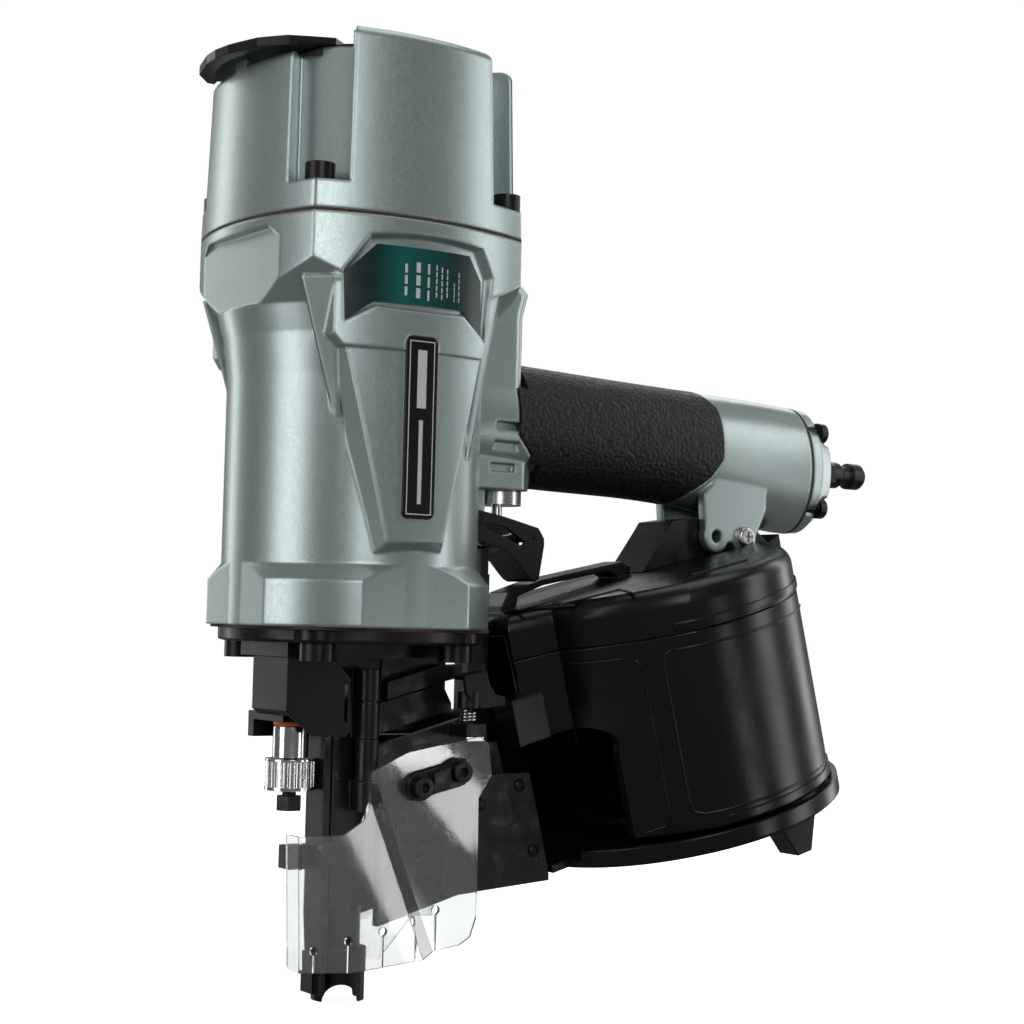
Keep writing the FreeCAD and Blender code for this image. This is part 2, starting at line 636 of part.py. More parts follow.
def trigger():
    body = side_prism(TRIGGER_OUTLINE, (-TRIGGER_HALF, TRIGGER_HALF))
    body = body.cut(side_prism(TRIGGER_HOLLOW, (-7.2, 7.2)))
    body = body.cut(side_prism(TRIGGER_WINDOW, (-12, 12)))
    x, z = TRIGGER_PIN
    body = body.cut(rod(1.6 + FIT, (x, -20, z), (x, 20, z)))
    x, z = ARM_PIN
    return body.cut(rod(1.2, (x, -20, z), (x, 20, z)))


def trigger_arm():
    """Lever inside the trigger that the push lever lifts."""
    outline = [(52.6, 161.6), (53.4, 160.4), (58, 160.8), (64, 162.6), (72.6, 162.4), (76.2, 163.2),
               (76.2, 166.2), (72.8, 166.4), (64, 164.4), (58, 162.4), (54, 162.2)]
    arm = side_prism(outline, (-3, 3))
    x, z = ARM_PIN
    return arm.cut(rod(1.2 + FIT, (x, -20, z), (x, 20, z)))


def trigger_spring():
    """Two torsion coils round the trigger pin."""
    x, z = TRIGGER_PIN
    coil = Part.makeTorus(2.5, 0.35, Vector(x, 0, z), Vector(0, 1, 0))
    coils = []
    for level in (3.7, 4.5):
        for side in (-1, 1):
            moved = coil.copy()
            moved.translate(Vector(0, side * level, 0))
            coils.append(moved)
    return coils


def valve_bushing():
    cap = ring(9.0, 2.0 + FIT, (PLUNGER_X, 0, 175.8), (PLUNGER_X, 0, 180.9))
    barrel = ring(8.0, 6.0, (PLUNGER_X, 0, 180.9), (PLUNGER_X, 0, 200))
    return fuse([cap, barrel])


def valve_plunger():
    return fuse([rod(2.0, (PLUNGER_X, 0, PLUNGER_Z), (PLUNGER_X, 0, 186)),
                 rod(3.4, (PLUNGER_X, 0, 184), (PLUNGER_X, 0, 187))])


x, z = TRIGGER_PIN
save("trigger", trigger())
save("trigger_pin", rod(1.6, (x, -9.2, z), (x, 9.2, z)))
save("trigger_spring", trigger_spring())
save("trigger_arm", trigger_arm())
x, z = ARM_PIN
save("trigger_arm_pin", rod(1.2, (x, -9.4, z), (x, 9.4, z)))
save("valve_bushing", valve_bushing())
save("valve_plunger", valve_plunger())


# --- push lever, depth adjuster and contact arm ---------------------------------------------------
def push_lever():
    """Yoke round the adjuster rod, an arm past the right of the nose, and a bar up to the trigger."""
    x, y = ROD
    yoke_outline = [(x - 6.5, -6), (x + 7, -6), (x + 7, 13), (x + 12, 19.5), (x - 6.5, 19.5)]
    yoke = plan_prism(yoke_outline, (96.5, 99.5))
    arm = box((x - 6.5, 57), (15.5, 19.5), (90.5, 99.5))
    cross = box((48.5, 57), (-4.5, 19.5), (90.5, 99.5))
    bar = box((48.5, 57), (-4.5, 4.5), (90.5, 150))
    tip = box((52.9, 56.4), (-4.5, 4.5), (149, 159.2))
    lever = fuse([yoke, arm, cross, bar, tip])
    lever = lever.cut(rod(3.0, (x, y, 90), (x, y, 105)))
    return lever.cut(rod(1.8, (52.7, -6, 144.7), (52.7, -2.5, 144.7)))


def contact_arm():
    """Flat bar in front of the nose, with the tip below and the adjuster rod's tab above."""
    x, y = ROD
    bar = box((-12.6, -9.8), (-8, 4), (3, 106))
    bar = bar.cut(side_prism([(-20, 0), (-20, 30), (-12.6, 30), (-11.4, 12), (-11.4, 0)], (-10, 6)))
    tab = box((x - 5.5, -9.8), (-5.5, 4), (103, 106))
    socket = rod(9.3, (0, 0, 0), (0, 0, 18)).cut(rod(TUBE_R + GAP, (0, 0, -1), (0, 0, 19)))
    bridge = box((-12.6, -8.4), (-4, 4), (3, 17))
    hook = box((-23, -12.6), (-3.5, 3.5), (46, 54))
    boss = rod(3.6, (-11.2, -11, 52), (-11.2, -8, 52))
    arm = fuse([bar, tab, bridge, socket, hook, boss])
    arm = arm.cut(rod(2.45, (x, y, 100), (x, y, 110)))
    notch_low = Vector(-8, -19, 0)
    notch_high = Vector(8, 19, 0)
    return arm.cut(rod(6.2, tuple(notch_low), tuple(notch_high)))


def depth_knob():
    """Knurled wheel, with a counterbore that clears the stop nut."""
    x, y = ROD
    knob = rod(KNOB_R, (x, y, 73), (x, y, 83.8))
    for k in range(24):
        angle = math.radians(15 * k)
        place = (x + (KNOB_R + 0.3) * math.cos(angle), y + (KNOB_R + 0.3) * math.sin(angle))
        knob = knob.cut(rod(0.7, (place[0], place[1], 74.2), (place[0], place[1], 83)))
    knob = knob.cut(rod(2.4 + FIT, (x, y, 70), (x, y, 90)))
    return knob.cut(rod(5.4, (x, y, 72), (x, y, 78)))


def depth_cover():
    """Plastic cover over the adjuster, open below and on the right."""
    top = FLANGE_Z[0]
    outline = [(-32.2, top), (-32.2, 100.8), (-21.6, 92.6), (-9.5, 91.7), (-7.1, 93.8), (-7.7, 112.1),
               (-14.4, top)]
    shell = side_prism(outline, (-16, 9))
    shell = shell.cut(side_prism([(-29.8, 122), (-29.8, 80), (0, 80), (0, 122)], (-13.6, 20)))
    tab = box((-32.2, -16), (-16, -7), (top - 2.2, top))
    slot = box((-9.8, -8.4), (-20, -13), (97, 110))
    return fuse([shell, tab]).cut(slot)


def adjuster_rod():
    """Threaded rod of the contact arm, with its stop nut at the bottom."""
    x, y = ROD
    return fuse([rod(2.4, (x, y, 66), (x, y, 106)), plan_prism(hexagon(ROD, 4.75), (66, 71))])


x, y = ROD
save("push_lever", push_lever())
save("contact_arm", contact_arm())
save("adjuster_rod", adjuster_rod())
save("depth_knob", depth_knob())
save("adjuster_sleeve", fuse([ring(6.2, 2.9, (x, y, 84.2), (x, y, 94.8)),
                              ring(4.2, 2.9, (x, y, 94.8), (x, y, 96.5))]))
save("depth_cover", depth_cover())


# --- feeder, on the right of the nose -------------------------------------------------------------
def feed_cylinder():
    """Small air cylinder that pulls the pawl back and lets its spring push it to the nose."""
    block = box(FEED_X, (FEED_Y - 9, FEED_Y + 9), (FEED_Z - 9, FEED_Z + 9))
    block = round_edges(block, 3.0, lambda e: e.BoundBox.XLength > 30)
    foot = box((FEED_X[0], FEED_X[1] - 8), (8.3, FEED_Y - 6), (FEED_Z - 9, FEED_Z - 5))
    block = fuse([block, foot])
    block = block.cut(rod(6.0, (FEED_X[0] + 3, FEED_Y, FEED_Z), (FEED_X[1] + 2, FEED_Y, FEED_Z)))
    return block.cut(rod(2.0 + FIT, (FEED_X[0] - 3, FEED_Y, FEED_Z), (FEED_X[0] + 7, FEED_Y, FEED_Z)))


def feed_piston():
    """Piston, rod and the fork that carries the pawl; the piston starts at the nose end."""
    head = rod(6.0 - FIT, (FEED_X[0] + 3.6, FEED_Y, FEED_Z), (FEED_X[0] + 9, FEED_Y, FEED_Z))
    shaft = rod(2.0, (6.4, FEED_Y, FEED_Z), (FEED_X[0] + 4, FEED_Y, FEED_Z))
    fork = box((1.5, 6.4), (17.0, FEED_Y + 2.5), (FEED_Z - 3, FEED_Z + 3))
    return fuse([head, shaft, fork])


def feed_pawl():
    """Finger that pushes the next nail; it swings on an upright pin."""
    outline = [(2.0, 15), (6.0, 15), (6.4, 10), (6.4, 2.0), (4.6, 2.0), (4.4, 9), (2.0, 11)]
    low = FEED_Z - 2.4
    high = FEED_Z + 2.4
    x, y = PAWL_PIN
    finger = plan_prism(outline, (low, high)).fuse(rod(PAWL_EYE_R, (x, y, low), (x, y, high)))
    return finger.cut(rod(0.8, (x, y, low - 1), (x, y, high + 1)))


save("feed_cylinder", feed_cylinder())
save("feed_cap", fuse([rod(5.9, (FEED_X[1] - 3, FEED_Y, FEED_Z), (FEED_X[1], FEED_Y, FEED_Z)),
                       box((FEED_X[1], FEED_X[1] + 3), (FEED_Y - 8, FEED_Y + 8), (FEED_Z - 8, FEED_Z + 8))]))
save("feed_piston", feed_piston())
save("feed_pawl", feed_pawl())


# --- door, shields and latch ----------------------------------------------------------------------
SHIELD_SCREWS = [(17.5, 74.5), (33.5, 79.5)]   # (x, z)
LATCH = (36.5, -23.5)                          # latch pin, (x, y)


def guide_door():
    x, y = HINGE
    plate = side_prism([(5.6, 26.5), (41, 36.2), (41, 98.5), (5.6, 88.8)], (-16, -12.5))
    rib = side_prism([(10.5, 40), (40, 48), (40, 92), (10.5, 84)], (-12.5, -9))
    pocket = side_prism([(13, 44), (37.5, 51), (37.5, 88), (13, 81)], (-12.5, -8))
    knuckle = rod(4.0, (x, y, 76.8), (x, y, 90.8))
    web = box((1, 8), (-16, -12.5), (76.8, 88.5))
    bosses = [rod(4.2, (px, -19.2, pz), (px, -16, pz)) for px, pz in SHIELD_SCREWS]
    ear = box((33, 41), (-28, -16), (91.9, 96.5))
    door = fuse([plate, rib.cut(pocket), knuckle, web, ear] + bosses)
    for px, pz in SHIELD_SCREWS:
        door = door.cut(rod(2.0, (px, -20, pz), (px, -10, pz)))
    door = door.cut(rod(1.5, (LATCH[0], LATCH[1], 85), (LATCH[0], LATCH[1], 100)))
    return door.cut(rod(2.0 + FIT, (x, y, 60), (x, y, 120)))


SHIELD_T = 1.5
SHIELD_OUTLINE = [(-33.2, 60.2), (-31.5, 15.6), (-11.5, 14), (22, 16.7), (37, 18.5), (41.5, 21),
                  (44, 27.9), (43.6, 70), (49.0, 77.9), (47.5, 89), (44, 91.6), (13.7, 86.5),
                  (-1.0, 80), (-5.4, 72), (-8.5, 64.4), (-16.3, 60)]


def folded_sheet(path, thickness, lean, low, high):
    """Sheet whose plan is a folded line, extruded upwards with its folds leaning along X."""
    outer = [(x, y) for x, y in path]
    inner = [(x, y + thickness) for x, y in reversed(path)]
    shift = lean * (high - low)
    return prism([(x, y, low) for x, y in outer + inner], (shift, 0, high - low))


def shield():
    """Clear sheet on the door, folded so that its front stands further out."""
    path = [(-60, -29), (19.5, -29), (29, -20.7), (100, -20.7)]
    sheet = folded_sheet(path, SHIELD_T, -0.42, 10, 100)
    sheet = sheet.common(side_prism(SHIELD_OUTLINE, (-40, 0)))
    flap = side_prism([(-33.2, 60.2), (-31.5, 15.6), (-30, 15.5), (-31.7, 60.1)], (-29, -20))
    sheet = sheet.fuse(flap).removeSplitter()
    for k in range(5):
        x = -26 + 13.2 * k
        z = 22.5 + 0.17 * (x + 26)
        sheet = sheet.cut(rod(1.5, (x, -40, z), (x, -10, z)))
        sheet = sheet.cut(box((x - 0.25, x + 0.25), (-40, -10), (5, z)))
    for px, pz in SHIELD_SCREWS:
        sheet = sheet.cut(rod(2.3, (px, -40, pz), (px, -10, pz)))
    return sheet


def shield_clip():
    """Slotted clip under the two shield screws."""
    (x0, z0), (x1, z1) = SHIELD_SCREWS
    outline = [(x0 - 3, z0 - 4.6), (x1 + 3, z1 - 4.6), (x1 + 3, z1 + 4.6), (x0 - 3, z0 + 4.6)]
    plate = side_prism(outline, (-22.8, -20.75))
    ends = [rod(4.9, (px, -22.8, pz), (px, -20.75, pz)) for px, pz in SHIELD_SCREWS]
    block_outline = [(x0 + 4.6, z0 - 2.2), (x1 - 4.6, z1 - 5.0), (x1 - 4.6, z1 + 2.2), (x0 + 4.6, z0 + 5.0)]
    block = side_prism(block_outline, (-25.0, -22))
    clip = fuse([plate, block] + ends)
    for px, pz in SHIELD_SCREWS:
        clip = clip.cut(rod(2.3, (px, -40, pz), (px, -10, pz)))
    return clip


def shield_screws():
    return [hex_head(3.6, 3.4, 2.0, (px, -22.8, pz), (0, -1, 0))
            .fuse(rod(1.9, (px, -22.8, pz), (px, -13, pz)))
            for px, pz in SHIELD_SCREWS]


def right_shield():
    """Second clear sheet, fixed on the right of the nose."""
    outline = [(-4, 60), (-4, 20), (6, 13.5), (24, 9.5), (38, 24), (47, 24), (47, 58)]
    sheet = side_prism(outline, (13.0, 14.5))
    tab = side_prism([(12, 36), (26, 38), (26, 48), (12, 46)], (8.05, 13.0))
    return fuse([sheet, tab])


def door_latch():
    """Thumb lever above the door's rear edge: a curved plate with a foot that points to the rear."""
    x, y = LATCH
    hub = rod(4.0, (x, y, 101.8), (x, y, 107.6))
    outline = [(31.8, 113.2), (41.2, 115.2), (42.6, 110.6), (45.4, 106.9), (49.4, 106.0), (49.4, 102.9),
               (40, 101.8), (36, 103.4), (33.0, 107.0)]
    lever = side_prism(outline, (y - 3.8, y + 3.0))
    hollow = [(30, 111.4), (39.4, 113.4), (40.6, 109.4), (33.5, 105.8), (30, 106)]
    lever = lever.cut(side_prism(hollow, (y - 2.4, y + 8)))
    return fuse([hub, lever]).cut(rod(1.5 + FIT, (x, y, 100), (x, y, 108.3)))


def latch_spring():
    x, y = LATCH
    return [Part.makeTorus(2.6, 0.5, Vector(x, y, 97.3 + 1.15 * k), Vector(0, 0, 1)) for k in range(4)]


def upper_guide():
    """Fixed plates between the hinge and the magazine, over the door."""
    lower = side_prism([(6, 92.2), (37, 100.6), (37, 103), (33, 110), (6, 102.8)], (-11.5, -8.1))
    outline = [(9, 104.4), (33, 111), (40, 112.5), (40, 117), (30, 116.5), (9, 110.6)]
    upper = side_prism(outline, (-13.5, -8.1))
    top = FLANGE_Z[0]
    back = side_prism([(9.2, 96), (36, 103), (36, top), (9.2, top)], (-8.6, -4))
    return fuse([lower, upper, back])


save("guide_door", guide_door())
save("shield", shield())
save("shield_clip", shield_clip())
save("shield_screws", shield_screws())
save("right_shield", right_shield())
save("door_latch", door_latch())
save("latch_pin", rod(1.5, (LATCH[0], LATCH[1], 92.0), (LATCH[0], LATCH[1], 108)))
save("latch_spring", latch_spring())
save("upper_guide", upper_guide())


# --- magazine -------------------------------------------------------------------------------------
FRONT_U = -71.0            # front of the magazine shells
THROAT_V = 15.0            # half width of the throat outside


def wall_path(side, offset):
    """Edges of one wall in plan, from the throat round to the rear; side is -1 left, +1 right."""
    r = MAG_R - offset
    throat = THROAT_V - offset
    p0 = Vector(FRONT_U, side * throat, 0)
    p1 = Vector(-54 + 0.35 * offset, side * (20 - 0.95 * offset), 0)
    mid = Vector(-40 + 0.75 * offset, side * (43.5 - 0.66 * offset), 0)
    start = math.radians(109.0)
    p2 = Vector(r * math.cos(start), side * r * math.sin(start), 0)
    top = Vector(r * math.cos(math.radians(60)), side * r * math.sin(math.radians(60)), 0)
    end = math.radians(9.0)
    p3 = Vector(r * math.cos(end), side * r * math.sin(end), 0)
    curves = [Part.LineSegment(p0, p1), Part.Arc(p1, mid, p2), Part.Arc(p2, top, p3)]
    return [curve.toShape() for curve in curves]


def closed_outline(offset, height, low):
    """Whole magazine outline as a solid, inset by offset."""
    left = wall_path(-1, offset)
    right = wall_path(1, offset)
    rear_mid = Vector(MAG_R - offset, 0, 0)
    rear = Part.Arc(left[-1].Vertexes[-1].Point, rear_mid, right[-1].Vertexes[-1].Point).toShape()
    front = Part.LineSegment(left[0].Vertexes[0].Point, right[0].Vertexes[0].Point).toShape()
    outline = Part.Wire(Part.__sortEdges__(left + [rear] + right + [front]))
    solid = Part.Face(outline).extrude(Vector(0, 0, height))
    solid.translate(Vector(0, 0, low))
    return solid


def magazine_base():
    """Base plate with its stepped rim, the throat floor, the post for the coil support and a foot."""
    disc = rod(MAG_RIM_R - 1.5, (0, 0, 0), (0, 0, 3.5)).fuse(rod(MAG_RIM_R, (0, 0, 1.0), (0, 0, 7.0)))
    disc = disc.cut(rod(MAG_R + GAP, (0, 0, 3.5), (0, 0, 8)))
    throat = box((-71, -45), (-14, 14), (0.4, 3.5))
    post = rod(4.0, (0, 0, 3.0), (0, 0, 72))
    foot = side_prism([(0, 1), (6, -12), (13, -12), (18, 1)], (-62, -52))
    base = fuse([disc, throat, post, foot])
    return in_magazine(base.cut(box((-80, -50), (-21, 21), (3.5, 10))))


def hinge_knuckle(low, high, plan):
    """One knuckle of the cover hinge, with the arm that carries it."""
    u, v = MAG_HINGE
    knuckle = fuse([rod(3.2, (u, v, low), (u, v, high)), plan_prism(plan, (low, high))])
    return knuckle.cut(rod(1.6 + FIT, (u, v, 0), (u, v, 90)))


def magazine_shell():
    """Fixed right wall, with the outer knuckles of the cover hinge at its rear."""
    ringed = closed_outline(0, SEAM_H - 3.5, 3.5).cut(closed_outline(MAG_WALL, 100, 0))
    shell = ringed.cut(box((-90, 40), (-90, 3.0), (0, 100))).cut(box((30, 90), (-90, -11.4), (0, 100)))
    opening = box((-90, -60), (-20, THROAT_V - MAG_WALL), (0, 100))
    arm = [(59.6, -19), (60.5, -8), (62.5, -8), (65.0, -18)]
    knuckles = [hinge_knuckle(low, high, arm) for low, high in ((12, 19.6), (62.4, 70))]
    return in_magazine(fuse([shell.cut(opening)] + knuckles))


def magazine_cover():
    """Hinged left wall, with the window at its front, its knob, and the hinge barrel at its rear."""
    ringed = closed_outline(0, SEAM_H - 8.4, 8.0).cut(closed_outline(MAG_WALL, 100, 0))
    shell = ringed.cut(box((-90, 90), (-12.0, 90), (0, 100)))
    shell = shell.cut(box((56.5, 90), (-30, 90), (0, 100)))
    window = fuse([box((-80, -46.5), (-60, -10), (0, 44)), box((-80, -53), (-60, -10), (0, 51)),
                   rod(7.0, (-53, -60, 44), (-53, -19, 44))])
    knob = box((-84, -70.0), (-28, -15.5), (53, 70)).fuse(box((-72, -66), (-20, -13.5), (55, 68)))
    knob = knob.cut(box((-90, -60), (-15.4, 0), (0, 100)))
    barrel = hinge_knuckle(20, 62, [(55.5, -28.0), (64.5, -20.5), (61.5, -16.5), (54.0, -25.0)])
    return in_magazine(fuse([shell.cut(window), knob, barrel]))


def magazine_lid():
    """Domed lid with its loop bar, its right half sloping down, and a flat seat for the bracket."""
    dome = closed_outline(0, LID_H - SEAM_H, SEAM_H)
    dome = round_edges(dome, 7.0, lambda e: e.BoundBox.ZMin > LID_H - 0.01)
    dome = dome.cut(closed_outline(MAG_WALL + 0.5, 10.0, SEAM_H - 1))
    outline = [(-66, 96), (-65.5, 100), (-61.5, 104.5), (-45.5, 105.6), (-6, 103.6), (-3, 101), (-5, 96)]
    slope = front_prism([(12, LID_H), (66, 91), (70, 91), (70, 110), (12, 110)], (-90, 70))
    dome = dome.cut(slope)
    bar = side_prism(outline, (-6, 6))
    slot = side_prism([(-59.5, 98.1), (-57.5, 102.1), (-45.5, 103.4), (-14, 101.7), (-10, 98.1)], (-10, 10))
    lid = in_magazine(fuse([dome, bar]).cut(slot))
    return lid.cut(box((143, 205), (-18.3, 18.3), (BRACKET_Z, 200)))


def coil_support():
    """Disc that the coil rests on; it slides on the post to suit the nail length."""
    disc = ring(40, 4.0 + GAP, (0, 0, 8.5), (0, 0, 11))
    for k in range(3):
        angle = math.radians(120 * k + 30)
        place = (24 * math.cos(angle), 24 * math.sin(angle))
        disc = disc.cut(rod(8, (place[0], place[1], 5), (place[0], place[1], 15)))
    hub = ring(8, 4.0 + GAP, (0, 0, 8.5), (0, 0, 34))
    return in_magazine(fuse([disc, hub]))


def magazine_bracket():
    """Foot of the handle lugs on the lid, tapering down along the lid to the front."""
    outline = [(155, BRACKET_Z), (124, 153), (135.5, 168.5), (139, 173.5), (148, 175), (180, 174), (189, 167),
               (195, 171), (197.5, BRACKET_Z)]
    bracket = side_prism(outline, (-LUG_Y + GAP, LUG_Y - GAP))
    for x, z in (LUG_HOLE, LUG_SCREW):
        bracket = bracket.cut(rod(LUG_HOLE_R, (x, -20, z), (x, 20, z)))
    return bracket


def bracket_screw():
    x, z = LUG_SCREW
    outside = LUG_Y + LUG_T
    head = rod(4.2, (x, -outside - 2.4, z), (x, -outside, z))
    head = round_edges(head, 1.2, lambda e: e.BoundBox.YMax < -outside - 2.3)
    cross = fuse([box((x - 2.2, x + 2.2), (-20, -outside - 1.0), (z - 0.45, z + 0.45)),
                  box((x - 0.45, x + 0.45), (-20, -outside - 1.0), (z - 2.2, z + 2.2))])
    shank = rod(2.4, (x, -outside, z), (x, outside, z))
    nut = rod(4.0, (x, outside, z), (x, outside + 2.5, z))
    return fuse([head.cut(cross), shank, nut])


def feed_rail():
    """Welded channel from the magazine to the nose: right wall, floor and the fixed left wall."""
    right_outline = [(9.6, 91), (9.6, 27.5), (36, 34.5), (81.4, 37.8), (81.0, 42.4), (69.0, 88),
                     (46, 88), (46, 91)]
    right = side_prism(right_outline, (5.2, 8.0))
    right = right.cut(box((9, 20), (0, 10), (FEED_Z - 4, FEED_Z + 4)))
    floor = side_prism([(36, 34.5), (81.4, 37.8), (81.4, 40.4), (36, 39.5)], (-12.4, 8.0))
    left_outline = [(42, 35), (42, 73.4), (57.4, 77.5), (71.6, 77.5), (81.0, 42.4), (81.4, 38)]
    left = side_prism(left_outline, (-12.4, -9.8))
    return fuse([right, floor, left])


save("magazine_base", magazine_base())
save("magazine_shell", magazine_shell())
save("magazine_cover", magazine_cover())
save("magazine_lid", magazine_lid())
u, v = MAG_HINGE
save("magazine_hinge_pin", in_magazine(rod(1.6, (u, v, 12), (u, v, 70))))
save("coil_support", coil_support())
save("magazine_bracket", magazine_bracket())
save("bracket_screw", bracket_screw())
save("feed_rail", feed_rail())
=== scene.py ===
"""Looks of the pneumatic coil nail gun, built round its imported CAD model.

Metres. The frame is the CAD's: the origin is at the bottom of the contact tip, +Z runs up the drive
axis, +X points to the handle and -Y is the operator's left. The magazine has its own tilted frame:
u to the rear, v along +Y and h up its axis.
"""
import json
import math

import bmesh
import bpy
from mathutils import Matrix, Vector


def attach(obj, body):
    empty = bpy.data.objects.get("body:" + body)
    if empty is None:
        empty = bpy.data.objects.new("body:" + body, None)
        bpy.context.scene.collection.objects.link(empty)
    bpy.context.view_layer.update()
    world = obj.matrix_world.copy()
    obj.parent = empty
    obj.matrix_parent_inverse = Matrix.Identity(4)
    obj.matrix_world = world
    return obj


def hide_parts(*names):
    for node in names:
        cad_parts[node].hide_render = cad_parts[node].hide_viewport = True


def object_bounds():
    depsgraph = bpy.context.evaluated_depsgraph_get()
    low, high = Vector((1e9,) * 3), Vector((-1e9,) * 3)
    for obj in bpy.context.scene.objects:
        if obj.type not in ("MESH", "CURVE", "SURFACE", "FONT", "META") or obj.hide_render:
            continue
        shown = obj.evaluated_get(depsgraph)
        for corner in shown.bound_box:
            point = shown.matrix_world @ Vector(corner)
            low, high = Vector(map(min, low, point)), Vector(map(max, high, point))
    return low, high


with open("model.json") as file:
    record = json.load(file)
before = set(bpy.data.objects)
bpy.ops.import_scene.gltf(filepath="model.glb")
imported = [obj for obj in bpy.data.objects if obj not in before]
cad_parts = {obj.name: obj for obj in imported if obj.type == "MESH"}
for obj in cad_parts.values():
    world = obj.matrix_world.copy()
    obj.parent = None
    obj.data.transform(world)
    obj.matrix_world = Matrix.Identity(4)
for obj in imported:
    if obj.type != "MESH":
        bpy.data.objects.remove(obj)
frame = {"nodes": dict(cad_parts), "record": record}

cad_low, cad_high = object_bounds()
MM = 0.001
SHARP_ANGLE = math.radians(35)     # smooth pieces keep a crisp edge where they turn more than this

# --- magazine frame ---------------------------------------------------------------------------------
TILT = math.radians(15.0)
MAG_BASE = (151.0, 0.0, 58.5)
MAG_R = 63.0               # outside of the wall
LID_H = 98.0               # top of the lid
ARC_FRONT, ARC_MIDDLE, ARC_REAR = (-54.0, -20.0), (-40.0, -43.5), (-20.51, -59.57)   # (u, v) on the wall

# --- head, in mm ------------------------------------------------------------------------------------
HEAD_HALF = 50.5           # half width across the bowed sides
HEAD_DROP = 8.8            # how far a side falls back towards its ends
HEAD_CHORD = 41.7          # half the length of a side
LABEL_SCALE = 0.965        # scale of the head at the face of the side label
PLATE_SCALE = 0.993        # scale of the head at the face of the name plate
INK_LIFT = 0.04            # height of print above its ground
INK_DEPTH = 0.05           # how far print reaches into its ground

# --- clear sheet, in mm -----------------------------------------------------------------------------
SHEET_FRONT_Y = -29.0
SHEET_REAR_Y = -20.7


def mm(x, y, z):
    """A point given in mm, in metres."""
    return Vector((x, y, z)) * MM


def mag(u, v, h):
    """A point of the magazine frame, in mm, as a point of the CAD's frame in metres."""
    x = MAG_BASE[0] + u * math.cos(TILT) - h * math.sin(TILT)
    z = MAG_BASE[2] + u * math.sin(TILT) + h * math.cos(TILT)
    return mm(x, v, z)


# --- node helpers -----------------------------------------------------------------------------------
class Shader:
    """A material with a Principled shader, and short ways to add nodes to it."""

    def __init__(self, name):
        self.material = bpy.data.materials.new(name)
        self.material.use_nodes = True
        self.tree = self.material.node_tree
        self.main = self.tree.nodes["Principled BSDF"]
        self.place = self.add("ShaderNodeTexCoord").outputs["Object"]

    def add(self, kind, **settings):
        node = self.tree.nodes.new(kind)
        for key, value in settings.items():
            setattr(node, key, value)
        return node

    def join(self, source, target):
        self.tree.links.new(source, target)

    def fixed(self, **values):
        """Sets sockets of the shader: underscores stand for spaces."""
        for key, value in values.items():
            self.main.inputs[key.replace("_", " ")].default_value = value

    def noise(self, scale, detail=2.0, rough=0.5, stretch=None):
        node = self.add("ShaderNodeTexNoise")
        node.inputs["Scale"].default_value = scale
        node.inputs["Detail"].default_value = detail
        node.inputs["Roughness"].default_value = rough
        source = self.place
        if stretch:
            mapping = self.add("ShaderNodeMapping")
            mapping.inputs["Scale"].default_value = stretch
            self.join(self.place, mapping.inputs["Vector"])
            source = mapping.outputs["Vector"]
        self.join(source, node.inputs["Vector"])
        return node.outputs["Fac"]

    def cells(self, scale, feature="F1"):
        node = self.add("ShaderNodeTexVoronoi", feature=feature)
        node.inputs["Scale"].default_value = scale
        self.join(self.place, node.inputs["Vector"])
        return node

    def ramp(self, source, stops):
        """Colour ramp: stops are (position, colour), a colour being one grey or three channels."""
        node = self.add("ShaderNodeValToRGB")
        ramp = node.color_ramp
        while len(ramp.elements) < len(stops):
            ramp.elements.new(0.5)
        for element, (position, colour) in zip(ramp.elements, stops):
            element.position = position
            rgb = colour if isinstance(colour, tuple) else (colour, colour, colour)
            element.color = (*rgb, 1.0)
        self.join(source, node.inputs["Fac"])
        return node.outputs["Color"]

    def spread(self, source, low, high, low_in=0.3, high_in=0.7):
        """Maps a value from one range to another."""
        node = self.add("ShaderNodeMapRange")
        for key, value in (("From Min", low_in), ("From Max", high_in), ("To Min", low), ("To Max", high)):
            node.inputs[key].default_value = value
        self.join(source, node.inputs["Value"])
        return node.outputs["Result"]

    def mix(self, factor, first, second, blend="MIX"):
        """Mixes two colours, each a socket or a tuple; factor is a socket or a number."""
        node = self.add("ShaderNodeMix", data_type="RGBA", blend_type=blend)
        for slot, value in ((node.inputs[0], factor), (node.inputs[6], first), (node.inputs[7], second)):
            if isinstance(value, bpy.types.NodeSocket):
                self.join(value, slot)
            elif isinstance(value, tuple):
                slot.default_value = (*value, 1.0)
            else:
                slot.default_value = value
        return node.outputs[2]

    def bump(self, source, distance, strength=1.0, before=None):
        node = self.add("ShaderNodeBump")
        node.inputs["Distance"].default_value = distance
        node.inputs["Strength"].default_value = strength
        self.join(source, node.inputs["Height"])
        if before is not None:
            self.join(before, node.inputs["Normal"])
        return node.outputs["Normal"]

    def soft_edge(self, radius):
        """Normals that turn smoothly over each edge, as on a casting or a moulding."""
        node = self.add("ShaderNodeBevel", samples=8)
        node.inputs["Radius"].default_value = radius
        return node.outputs["Normal"]

    def wear(self, radius, most):
        """Rises from 0 on faces to a given most at edges."""
        rounded = self.add("ShaderNodeBevel", samples=4)
        rounded.inputs["Radius"].default_value = radius
        geometry = self.add("ShaderNodeNewGeometry")
        dot = self.add("ShaderNodeVectorMath", operation="DOT_PRODUCT")
        self.join(rounded.outputs["Normal"], dot.inputs[0])
        self.join(geometry.outputs["Normal"], dot.inputs[1])
        return self.spread(dot.outputs["Value"], most, 0.0, 0.80, 0.99)

    def colour(self, source):
        self.join(source, self.main.inputs["Base Color"])

    def rough(self, source):
        self.join(source, self.main.inputs["Roughness"])

    def normal(self, source):
        self.join(source, self.main.inputs["Normal"])


